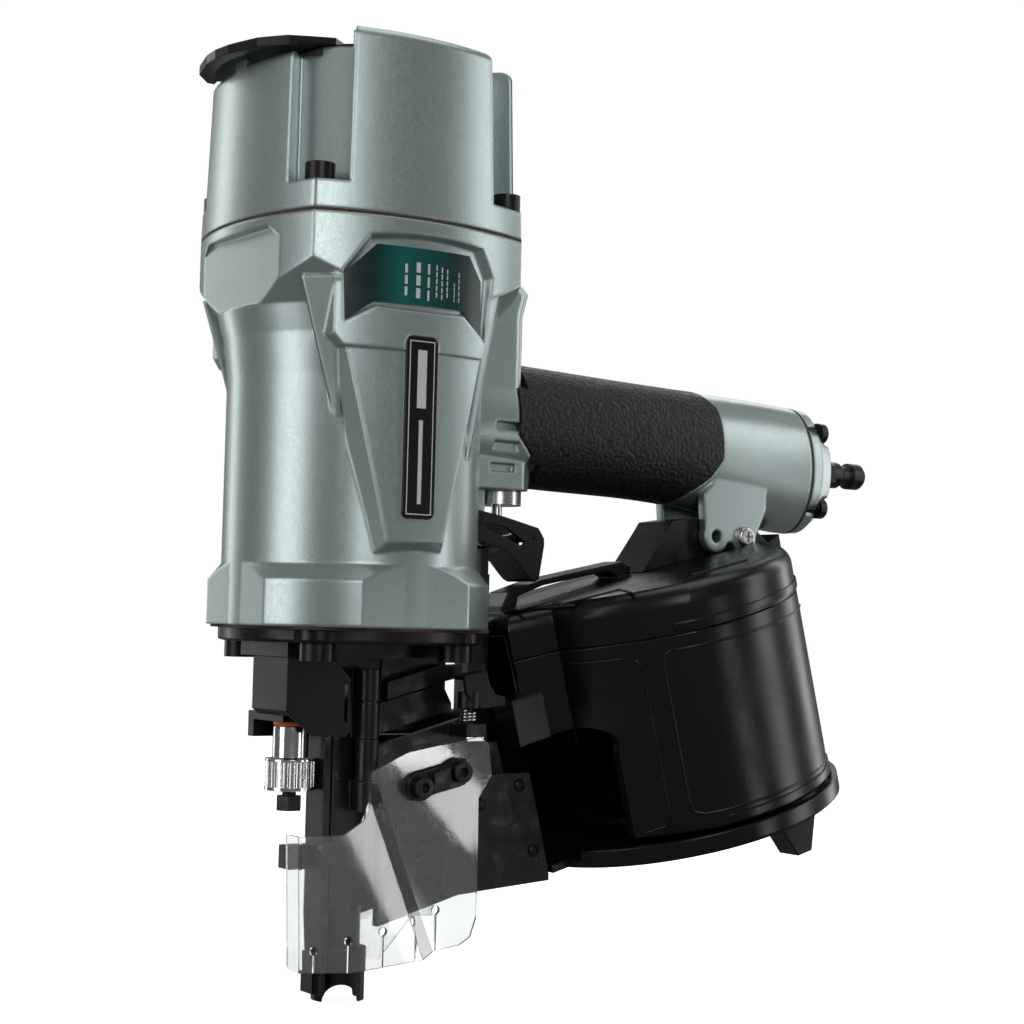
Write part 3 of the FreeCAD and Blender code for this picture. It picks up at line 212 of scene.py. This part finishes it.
# --- materials --------------------------------------------------------------------------------------
def silver_paint():
    """Pale grey-green metallic paint with fine flakes, a little orange peel and dust in its grain."""
    s = Shader("paint_silver_green")
    s.fixed(Metallic=0.75, Coat_Weight=0.25, Coat_Roughness=0.2)
    sparkle = s.ramp(s.noise(2600.0, 1.0), [(0.3, (0.36, 0.445, 0.435)), (0.7, (0.48, 0.565, 0.555))])
    cloud = s.ramp(s.noise(26.0, 3.0), [(0.3, 0.95), (0.7, 1.0)])
    s.colour(s.mix(1.0, sparkle, cloud, "MULTIPLY"))
    s.rough(s.spread(s.noise(900.0, 2.0), 0.30, 0.38))
    s.normal(s.bump(s.noise(420.0, 2.0), 0.00005, 0.25, s.soft_edge(0.0018)))
    return s.material


def moulded_plastic(name, colour, low, high, edge=0.0006, shine=0.5):
    """Black moulded plastic: fine spark-eroded grain, and smoother patches where it is handled."""
    s = Shader(name)
    s.fixed(Specular_IOR_Level=shine)
    tint = s.noise(60.0, 3.0)
    s.colour(s.mix(tint, colour, tuple(1.35 * c for c in colour)))
    s.rough(s.spread(s.noise(38.0, 4.0), low, high))
    s.normal(s.bump(s.noise(1900.0, 2.0), 0.00005, 0.4, s.soft_edge(edge)))
    return s.material


def black_steel(name="black_oxide_steel", colour=(0.011, 0.011, 0.012)):
    """Black oxide steel: satin, with paler worn edges and a trace of brushing."""
    s = Shader(name)
    s.fixed(Metallic=0.55, Specular_IOR_Level=0.5)
    base = s.mix(s.noise(110.0, 4.0), colour, tuple(1.7 * c for c in colour))
    s.colour(s.mix(s.wear(0.0005, 0.45), base, (0.16, 0.16, 0.165)))
    s.rough(s.spread(s.noise(160.0, 4.0), 0.24, 0.42))
    s.normal(s.bump(s.noise(700.0, 3.0, 0.5, (1.0, 1.0, 0.15)), 0.00004, 0.35, s.soft_edge(0.0004)))
    return s.material


def bright_steel():
    """Turned steel with fine tool marks round its axis."""
    s = Shader("turned_steel")
    s.fixed(Metallic=1.0)
    s.colour(s.mix(s.noise(140.0, 3.0), (0.56, 0.56, 0.565), (0.62, 0.62, 0.62)))
    s.rough(s.spread(s.noise(900.0, 2.0, 0.5, (0.3, 0.3, 3.0)), 0.20, 0.28))
    s.normal(s.bump(s.noise(1400.0, 2.0, 0.5, (0.2, 0.2, 3.0)), 0.00001, 0.3, s.soft_edge(0.0003)))
    return s.material


def chrome():
    """Chrome plate with the faint ripple of the metal under it."""
    s = Shader("chrome_plate")
    s.fixed(Metallic=1.0)
    s.colour(s.mix(s.noise(70.0, 2.0), (0.66, 0.665, 0.68), (0.76, 0.765, 0.78)))
    s.rough(s.spread(s.noise(420.0, 3.0), 0.10, 0.20))
    s.normal(s.bump(s.noise(500.0, 2.0), 0.00002, 0.4, s.soft_edge(0.0003)))
    return s.material


def aluminium():
    """Machined aluminium."""
    s = Shader("machined_aluminium")
    s.fixed(Metallic=1.0)
    s.colour(s.mix(s.noise(90.0, 2.0), (0.56, 0.565, 0.57), (0.66, 0.66, 0.67)))
    s.rough(s.spread(s.noise(800.0, 2.0, 0.5, (2.0, 0.2, 0.2)), 0.28, 0.42))
    return s.material


def grip_rubber():
    """Rubber with a raised pebble pattern, its colour darker in the hollows between the pebbles as painted
    shade.
    """
    s = Shader("pebbled_rubber")
    s.fixed(Specular_IOR_Level=0.42)
    pebbles = s.cells(720.0, "SMOOTH_F1")
    # Colour is darker away from each pebble's centre, in the hollows between pebbles: painted shade.
    s.colour(s.ramp(pebbles.outputs["Distance"], [(0.1, 0.017), (0.75, 0.006)]))
    s.rough(s.spread(s.noise(300.0, 3.0), 0.42, 0.58))
    height = s.spread(pebbles.outputs["Distance"], 1.0, 0.0, 0.0, 0.9)
    fine = s.bump(s.noise(2600.0, 2.0), 0.00004, 0.4)
    s.normal(s.bump(height, 0.00045, 0.85, fine))
    return s.material


def soft_rubber(name, colour):
    """Plain rubber with a faint grain."""
    s = Shader(name)
    s.colour(s.mix(s.noise(200.0, 3.0), colour, tuple(1.3 * c for c in colour)))
    s.rough(s.spread(s.noise(500.0, 2.0), 0.42, 0.6))
    s.normal(s.bump(s.noise(1500.0, 2.0), 0.00004, 0.4))
    return s.material


def fibre_gasket():
    """Pressed fibre sheet, mottled brown."""
    s = Shader("fibre_gasket")
    s.colour(s.ramp(s.noise(1500.0, 4.0, 0.7), [(0.3, (0.03, 0.02, 0.014)), (0.7, (0.085, 0.058, 0.04))]))
    s.rough(s.spread(s.noise(800.0, 2.0), 0.7, 0.9))
    s.normal(s.bump(s.noise(2200.0, 3.0), 0.0001, 0.5))
    return s.material


def clear_sheet():
    """Clear polycarbonate, slightly grey, with faint rub marks."""
    s = Shader("clear_polycarbonate")
    s.fixed(IOR=1.5, Transmission_Weight=0.965, Specular_IOR_Level=0.6)
    s.colour(s.ramp(s.noise(30.0, 3.0), [(0.3, (0.66, 0.68, 0.68)), (0.7, (0.72, 0.74, 0.74))]))
    s.rough(s.spread(s.noise(240.0, 5.0, 0.7, (1.0, 1.0, 0.2)), 0.015, 0.07))
    return s.material


def teal_label():
    """Printed label: teal under a gloss film, with a painted sheen, a brighter band left of the middle, and
    painted shade that darkens it to near black at both ends.
    """
    s = Shader("teal_print_painted_sheen")
    s.fixed(Coat_Weight=0.2, Coat_Roughness=0.12, Specular_IOR_Level=0.3)
    split = s.add("ShaderNodeSeparateXYZ")
    s.join(s.place, split.inputs[0])
    across = s.spread(split.outputs["X"], 0.0, 1.0, -0.032, 0.0245)
    # Colour ramp across the label: a painted sheen at about a third of the way across, with painted shade
    # falling to near black at both ends.
    painted_sheen = s.ramp(across, [(0.0, (0.001, 0.012, 0.013)), (0.20, (0.002, 0.03, 0.03)),
                            (0.36, (0.008, 0.13, 0.12)), (0.52, (0.006, 0.095, 0.088)),
                            (0.72, (0.003, 0.045, 0.043)), (1.0, (0.002, 0.02, 0.02))])
    grain = s.ramp(s.noise(1800.0, 2.0), [(0.3, 0.9), (0.7, 1.0)])
    s.colour(s.mix(1.0, painted_sheen, grain, "MULTIPLY"))
    s.rough(s.spread(s.noise(120.0, 3.0), 0.22, 0.32))
    return s.material


def print_ink(name, colour):
    """Printing ink under a thin gloss film."""
    s = Shader(name)
    s.fixed(Coat_Weight=0.5, Coat_Roughness=0.1)
    s.colour(s.mix(s.noise(1400.0, 2.0), colour, tuple(0.85 * c for c in colour)))
    s.rough(s.spread(s.noise(300.0, 2.0), 0.3, 0.4))
    return s.material


PAINT = silver_paint()
CANISTER = moulded_plastic("black_glass_nylon", (0.0038, 0.0038, 0.0042), 0.22, 0.31, 0.0009, 0.4)
PLASTIC = moulded_plastic("black_plastic", (0.004, 0.004, 0.0044), 0.32, 0.44, shine=0.35)
BLACK_STEEL = black_steel()
SCREW_BLACK = black_steel("black_screw_steel", (0.009, 0.009, 0.010))
STEEL = bright_steel()
CHROME = chrome()
ALUMINIUM = aluminium()
GRIP = grip_rubber()
BUMPER = soft_rubber("bumper_rubber", (0.014, 0.014, 0.015))
ORANGE = soft_rubber("orange_rubber", (0.62, 0.13, 0.02))
GASKET = fibre_gasket()
CLEAR = clear_sheet()
LABEL = teal_label()
PLATE = moulded_plastic("gloss_black_plate", (0.006, 0.006, 0.0065), 0.16, 0.24, 0.0004)
WHITE_INK = print_ink("pale_ink", (0.72, 0.74, 0.74))

SLOT_MATERIALS = {
    "paint_silver": PAINT, "gasket": GASKET, "black_steel": BLACK_STEEL, "steel": STEEL, "chrome": CHROME,
    "black_plastic": PLASTIC, "rubber_grip": GRIP, "clear_shield": CLEAR, "label": LABEL,
    "name_black": PLATE, "aluminium": ALUMINIUM, "rubber_soft": BUMPER,
}
NODE_MATERIALS = {
    "magazine_shell": CANISTER, "magazine_cover": CANISTER, "magazine_lid": CANISTER,
    "magazine_base": CANISTER, "cap_screws": SCREW_BLACK, "flange_bolts": SCREW_BLACK,
    "end_cap_bolts": SCREW_BLACK, "shield_screws": SCREW_BLACK, "exhaust_deflector": PLASTIC,
}


def finish_nodes():
    """Gives every CAD node the material of its slot, or its own."""
    slots = {row["node"]: row["material_slot"] for row in frame["record"]["subparts"]}
    for name, obj in frame["nodes"].items():
        finish = NODE_MATERIALS.get(name) or SLOT_MATERIALS[slots[name]]
        obj.data.materials.clear()
        obj.data.materials.append(finish)


# --- piece helpers ----------------------------------------------------------------------------------
def make_piece(name, mesh, finish, body):
    """Object of the looks that rides on a CAD body."""
    obj = bpy.data.objects.new(name, mesh)
    bpy.context.scene.collection.objects.link(obj)
    mesh.materials.clear()
    mesh.materials.append(finish)
    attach(obj, body)
    return obj


def closed_mesh(name, rings, loop=False, smooth=True):
    """Skins rings of points, each with as many points as the others, and caps the ends unless it loops."""
    mesh = bpy.data.meshes.new(name)
    points = [p for ring in rings for p in ring]
    count = len(rings[0])
    faces = []
    last = len(rings) if loop else len(rings) - 1
    for i in range(last):
        a = i * count
        b = ((i + 1) % len(rings)) * count
        for j in range(count):
            k = (j + 1) % count
            faces.append((a + j, a + k, b + k, b + j))
    if not loop:
        faces.append(tuple(reversed(range(count))))
        faces.append(tuple(range(len(points) - count, len(points))))
    mesh.from_pydata([tuple(p) for p in points], [], faces)
    edit = bmesh.new()
    edit.from_mesh(mesh)
    bmesh.ops.recalc_face_normals(edit, faces=edit.faces)
    edit.to_mesh(mesh)
    edit.free()
    for face in mesh.polygons:
        face.use_smooth = smooth
    if smooth:
        mesh.set_sharp_from_angle(angle=SHARP_ANGLE)
    return mesh


def axes_for(direction):
    """Two unit vectors at right angles to a direction and to each other."""
    forward = Vector(direction).normalized()
    helper = Vector((0, 0, 1)) if abs(forward.z) < 0.9 else Vector((1, 0, 0))
    first = forward.cross(helper).normalized()
    return first, forward.cross(first)


def turned(name, base, direction, profile, finish, body, sides=40):
    """Lathe work: profile is (distance along direction, radius) in mm, from base."""
    first, second = axes_for(direction)
    forward = Vector(direction).normalized()
    rings = []
    for along, radius in profile:
        ring = []
        for k in range(sides):
            angle = 2 * math.pi * k / sides
            offset = first * math.cos(angle) + second * math.sin(angle)
            ring.append(base + (forward * along + offset * radius) * MM)
        rings.append(ring)
    return make_piece(name, closed_mesh(name, rings), finish, body)


def wire_mesh(name, points, radius, sides=10, loop=False):
    """Round wire through points."""
    count = len(points)
    rings = []
    kept = None
    for i, point in enumerate(points):
        before = points[(i - 1) % count] if loop else points[max(i - 1, 0)]
        after = points[(i + 1) % count] if loop else points[min(i + 1, count - 1)]
        along = (after - before).normalized()
        first = axes_for(along)[0] if kept is None else (kept - along * kept.dot(along)).normalized()
        second = along.cross(first)
        kept = first
        ring = []
        for k in range(sides):
            turn = 2 * math.pi * k / sides
            ring.append(point + (first * math.cos(turn) + second * math.sin(turn)) * radius * MM)
        rings.append(ring)
    return closed_mesh(name, rings, loop=loop)


def wire_piece(name, points, radius, finish, body, sides=10, loop=False):
    """Round wire as a piece of the looks."""
    return make_piece(name, wire_mesh(name, points, radius, sides, loop), finish, body)


def joined(name, meshes):
    """One mesh out of several."""
    whole = bmesh.new()
    for mesh in meshes:
        whole.from_mesh(mesh)
    result = bpy.data.meshes.new(name)
    whole.to_mesh(result)
    whole.free()
    return result


def helix(centre, direction, radius, pitch, turns, steps=24):
    """Points of a coil, with its radius and pitch in mm."""
    first, second = axes_for(direction)
    forward = Vector(direction).normalized()
    points = []
    for k in range(int(steps * turns) + 1):
        angle = 2 * math.pi * k / steps
        sideways = first * math.cos(angle) + second * math.sin(angle)
        points.append(centre + (forward * pitch * k / steps + sideways * radius) * MM)
    return points


# --- camera and light -------------------------------------------------------------------------------
def add_camera():
    """Long lens, left of the front, low and looking slightly up; returns its place and its three axes."""
    data = bpy.data.cameras.new("camera")
    data.lens = 68.55          # mm
    data.sensor_width = 36.0   # mm
    data.clip_start = 0.01
    camera = bpy.data.objects.new("camera", data)
    bpy.context.scene.collection.objects.link(camera)
    forward = Vector((0.5727, 0.8179, 0.0558)).normalized()
    side = Vector((0.8192, -0.5736, 0.0))
    up = side.cross(forward)
    roll = math.radians(1.4)
    right = side * math.cos(roll) + up * math.sin(roll)
    top = up * math.cos(roll) - side * math.sin(roll)
    place = Vector((-0.3491, -0.5979, 0.133))
    camera.matrix_world = Matrix((
        (right.x, top.x, -forward.x, place.x), (right.y, top.y, -forward.y, place.y),
        (right.z, top.z, -forward.z, place.z), (0, 0, 0, 1)))
    bpy.context.scene.camera = camera
    return place, right, top, forward


def area_light(name, place, target, size, power, colour=(1.0, 1.0, 1.0)):
    """Softbox that faces a target."""
    data = bpy.data.lights.new(name, "AREA")
    data.shape = "RECTANGLE"
    data.size, data.size_y = size
    data.energy = power
    data.color = colour
    light = bpy.data.objects.new(name, data)
    bpy.context.scene.collection.objects.link(light)
    light.location = place
    light.rotation_mode = "QUATERNION"
    light.rotation_quaternion = (Vector(target) - Vector(place)).to_track_quat("-Z", "Y")
    return light


def sheet_band(name, point, view, fall, size, power):
    """Narrow softbox that shows in the clear sheet, seen from the front, as a band falling to the right."""
    place, right, up = view
    seen = (point - place).normalized()
    away = Vector((seen.x, -seen.y, seen.z))
    slope = math.radians(fall)
    along = right * math.cos(slope) - up * math.sin(slope)
    along = Vector((along.x, -along.y, along.z))
    along = (along - away * along.dot(away)).normalized()
    across = along.cross(away)
    reach = 1.1
    light = area_light(name, point + away * reach, point, size, power)
    light.rotation_quaternion = Matrix((across, along, away)).transposed().to_quaternion()


def add_world():
    """White surround that lights the tool more dimly than the camera sees it."""
    world = bpy.data.worlds.new("studio")
    bpy.context.scene.world = world
    world.use_nodes = True
    tree = world.node_tree
    back = tree.nodes["Background"]
    back.inputs["Color"].default_value = (1.0, 1.0, 1.0, 1.0)
    back.inputs["Strength"].default_value = 0.13
    seen = tree.nodes.new("ShaderNodeBackground")
    seen.inputs["Color"].default_value = (1.0, 1.0, 1.0, 1.0)
    seen.inputs["Strength"].default_value = 1.0
    path = tree.nodes.new("ShaderNodeLightPath")
    mix = tree.nodes.new("ShaderNodeMixShader")
    tree.links.new(path.outputs["Is Camera Ray"], mix.inputs["Fac"])
    tree.links.new(back.outputs["Background"], mix.inputs[1])
    tree.links.new(seen.outputs["Background"], mix.inputs[2])
    tree.links.new(mix.outputs["Shader"], tree.nodes["World Output"].inputs["Surface"])


def add_floor():
    """Pale floor just under the tool, which neither lights it nor shows in its reflections."""
    s = Shader("pale_floor")
    s.fixed(Specular_IOR_Level=0.1)
    s.colour(s.mix(s.noise(3.0, 2.0), (0.93, 0.93, 0.93), (0.95, 0.95, 0.95)))
    s.rough(s.spread(s.noise(20.0, 2.0), 0.85, 0.95))
    s.fixed(Emission_Color=(1.0, 1.0, 1.0, 1.0), Emission_Strength=0.9)
    mesh = bpy.data.meshes.new("floor")
    half = 6.0
    level = cad_low.z - 0.0005
    corners = [(-half, -half, level), (half, -half, level), (half, half, level), (-half, half, level)]
    mesh.from_pydata(corners, [], [(0, 1, 2, 3)])
    mesh.materials.append(s.material)
    floor = bpy.data.objects.new("floor", mesh)
    bpy.context.scene.collection.objects.link(floor)
    floor.visible_diffuse = False
    floor.visible_glossy = False


def add_lights(place, right, up, forward):
    """Softboxes placed by the camera's own axes."""
    centre = Vector((0.05, 0.0, 0.17))

    def at(across, above, ahead):
        return centre + right * across + Vector((0, 0, 1)) * above + forward * ahead

    area_light("key", at(-0.95, 0.35, -0.75), centre, (0.6, 1.2), 5.5)
    area_light("front", at(0.35, 0.5, -1.25), centre, (0.5, 0.9), 4.5)
    area_light("side", at(1.15, 0.2, 0.05), centre, (0.3, 1.2), 3.0)
    area_light("top", at(0.1, 1.1, 0.15), centre, (1.1, 0.8), 3.4)
    area_light("rim_left", at(-0.9, 0.2, 0.6), centre, (0.25, 1.2), 2.4)
    area_light("rim_right", at(0.9, 0.15, 0.75), centre, (0.25, 1.2), 2.4)
    area_light("back", at(0.25, 0.8, 1.3), centre, (0.9, 0.6), 3.0)
    view = (place, right, up)
    sheet_band("band_front", mm(-2.0, SHEET_FRONT_Y, 53.0), view, 64.0, (0.035, 0.30), 0.33)
    sheet_band("band_rear", mm(28.5, SHEET_REAR_Y, 76.0), view, 50.0, (0.045, 0.13), 0.20)


# --- small parts that the CAD leaves out ------------------------------------------------------------
def ring_points(centre, direction, radius, count=48):
    """Points of a circle, with its radius in mm."""
    first, second = axes_for(direction)
    turns = [2 * math.pi * k / count for k in range(count)]
    return [centre + (first * math.cos(turn) + second * math.sin(turn)) * radius * MM for turn in turns]


def socket_screw(name, base, direction, radius, height, body):
    """Low socket head with a chamfered rim and a sunk round socket."""
    profile = [(0, radius), (0.75 * height, radius), (height, 0.86 * radius), (height, 0.52 * radius),
               (0.5 * height, 0.48 * radius), (0.45 * height, 0.02 * radius)]
    return turned(name, base, direction, profile, SCREW_BLACK, body, sides=32)


def rivet(name, base, direction, radius, height, body):
    """Low domed rivet head."""
    profile = [(0, radius), (0.35 * height, 0.97 * radius), (0.75 * height, 0.78 * radius),
               (0.95 * height, 0.45 * radius), (height, 0.05 * radius)]
    return turned(name, base, direction, profile, BLACK_STEEL, body, sides=28)


def head_surface(x, scale):
    """Y of the bowed left face of the head, in mm, at a given x."""
    half = HEAD_HALF * scale
    drop = HEAD_DROP * scale
    chord = HEAD_CHORD * scale
    radius = (chord * chord + drop * drop) / (2 * drop)
    return -(half - radius + math.sqrt(radius * radius - x * x))


def print_mark(name, x_span, z_span, scale):
    """Thin raised print on the bowed left face: spans are in mm."""
    steps = 6
    rings = []
    for k in range(steps + 1):
        x = x_span[0] + (x_span[1] - x_span[0]) * k / steps
        outside = head_surface(x, scale) - INK_LIFT
        inside = outside + INK_LIFT + INK_DEPTH
        rings.append([mm(x, outside, z_span[0]), mm(x, outside, z_span[1]),
                      mm(x, inside, z_span[1]), mm(x, inside, z_span[0])])
    return make_piece(name, closed_mesh(name, rings, smooth=False), WHITE_INK, "body")


def add_hardware():
    """O-ring of the depth adjuster, screw of the push lever and rivets of the feed rail."""
    rod_x = -21.5
    wire_piece("adjuster_o_ring", ring_points(mm(rod_x, 0, 95.9), (0, 0, 1), 5.0), 1.15, ORANGE,
               "push_lever", loop=True)
    socket_screw("lever_screw", mm(52.7, -4.4, 144.7), (0, -1, 0), 3.2, 2.4, "push_lever")
    for k, (x, z) in enumerate(((67.0, 73.0), (74.0, 49.0), (50.0, 66.5))):
        rivet(f"rail_rivet_{k}", mm(x, -12.35, z), (0, -1, 0), 2.4, 1.2, "body")


def add_springs():
    """Wound springs in place of the CAD's rings."""
    coils = [wire_mesh("coil", helix(mm(50.0, 3.35 * side, 169.5), (0, side, 0), 2.5, 0.8, 2), 0.35)
             for side in (-1, 1)]
    trigger_coils = make_piece("trigger_coils", joined("trigger_coils", coils), STEEL, "body")
    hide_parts("trigger_spring")
    latch_coil = wire_piece("latch_coil", helix(mm(36.5, -23.5, 97.3), (0, 0, 1), 2.6, 1.15, 3.4), 0.5,
                            STEEL, "guide_door")
    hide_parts("latch_spring")


def add_label_rules():
    """Plain pale rules where the label has print; no words and no marks."""
    rules = [(-9.6, 240.5, 252.0, 1.0), (-5.0, 240.0, 253.0, 1.6), (-1.0, 239.5, 253.0, 0.8),
             (2.2, 241.0, 252.5, 0.5), (4.4, 240.5, 252.0, 0.5), (6.6, 241.5, 251.5, 0.5),
             (9.6, 240.5, 247.0, 0.35), (11.6, 240.5, 251.0, 0.35)]
    for rule, (x, low, high, width) in enumerate(rules):
        dashes = 3 if width > 0.6 else 5
        step = (high - low) / dashes
        for k in range(dashes):
            print_mark(f"label_rule_{rule}_{k}", (x - width / 2, x + width / 2),
                       (low + k * step, low + (k + 0.78) * step), LABEL_SCALE)


def add_plate_prints():
    """Thin frame on the name plate, with a block and a bar inside it."""
    left, right = -8.3, 1.4
    low, high = 167.4, 225.6
    edge = 0.35
    marks = [("plate_frame_left", (left, left + edge), (low, high)),
             ("plate_frame_right", (right - edge, right), (low, high)),
             ("plate_frame_low", (left, right), (low, low + edge)),
             ("plate_frame_high", (left, right), (high - edge, high)),
             ("plate_block", (-5.2, -1.7), (203.0, 222.5)),
             ("plate_bar", (-4.2, -2.7), (171.0, 199.0))]
    for name, x_span, z_span in marks:
        print_mark(name, x_span, z_span, PLATE_SCALE)


def divided(corners, steps=14):
    """Points along straight runs between corners, each corner a tuple of numbers."""
    points = []
    for start, end in zip(corners, corners[1:]):
        for k in range(steps):
            points.append(tuple(a + (b - a) * k / steps for a, b in zip(start, end)))
    points.append(corners[-1])
    return points


def front_arc():
    """Centre and radius, in plan, of the wall's front curve, which passes through three known points."""
    (ax, ay), (bx, by), (cx, cy) = ARC_FRONT, ARC_MIDDLE, ARC_REAR
    scale = 2 * (ax * (by - cy) + bx * (cy - ay) + cx * (ay - by))
    a, b, c = ax * ax + ay * ay, bx * bx + by * by, cx * cx + cy * cy
    u = (a * (by - cy) + b * (cy - ay) + c * (ay - by)) / scale
    v = (a * (cx - bx) + b * (ax - cx) + c * (bx - ax)) / scale
    return u, v, math.hypot(ax - u, ay - v)


def on_wall(u, h):
    """Point on the outside of the magazine's left wall, at u along the tool and h up the wall."""
    if u > ARC_REAR[0]:
        return mag(u, -math.sqrt(MAG_R * MAG_R - u * u), h)
    centre_u, centre_v, radius = front_arc()
    return mag(u, centre_v - math.sqrt(radius * radius - (u - centre_u) ** 2), h)


def add_lid_ribs():
    """Low ribs moulded on the lid."""
    runs = [[(-66.0, -9.1), (-59.8, -24.0), (-54.8, -36.0)],
            [(-53.7, -25.9), (-30.0, -31.9), (-36.0, -48.0)],
            [(-6.0, -46.0), (18.7, -49.0)]]
    for k, run in enumerate(runs):
        points = [mag(u, v, LID_H) for u, v in divided(run)]
        wire_piece(f"lid_rib_{k}", points, 0.6, CANISTER, "body")


def add_cover_ribs():
    """Low ribs moulded round the cover's window and round its inset panel."""
    window = [(-52.5, 75.5), (-41.0, 75.0), (-38.5, 73.5), (-37.5, 70.0), (-37.5, 15.0), (-38.8, 11.5),
              (-44.0, 10.0)]
    panel = [(46.0, 74.0), (-29.0, 75.5), (-31.0, 74.0), (-31.8, 70.0), (-31.8, 19.0), (-31.0, 15.5),
             (-28.0, 14.0), (46.0, 14.0)]
    for name, corners in (("window_rib", window), ("cover_rib", panel)):
        points = [on_wall(u, h) for u, h in divided(corners)]
        wire_piece(name, points, 0.55, CANISTER, "magazine_cover")


def wall_band(name, u_span, low, high, body):
    """Flat band round the left wall, which stands out by its thickness."""
    thickness = 0.6
    steps = 40
    rings = []
    for k in range(steps + 1):
        u = u_span[0] + (u_span[1] - u_span[0]) * k / steps
        outward = on_wall(u, low) - mag(0, 0, low)
        outward = outward.normalized() * thickness * MM
        foot, head = on_wall(u, low), on_wall(u, high)
        rings.append([foot + outward, head + outward, head - outward, foot - outward])
    return make_piece(name, closed_mesh(name, rings, smooth=False), CANISTER, body)


# --- the scene --------------------------------------------------------------------------------------
bpy.context.scene.view_settings.view_transform = "Standard"
camera_axes = add_camera()
add_world()
add_floor()
add_lights(*camera_axes)
finish_nodes()
add_hardware()
add_springs()
add_label_rules()
add_plate_prints()
add_lid_ribs()
add_cover_ribs()
wall_band("lid_band", (-27.0, 50.0), 82.0, 85.0, "body")
wall_band("rim_band", (-21.0, 50.0), 8.6, 12.0, "magazine_cover")
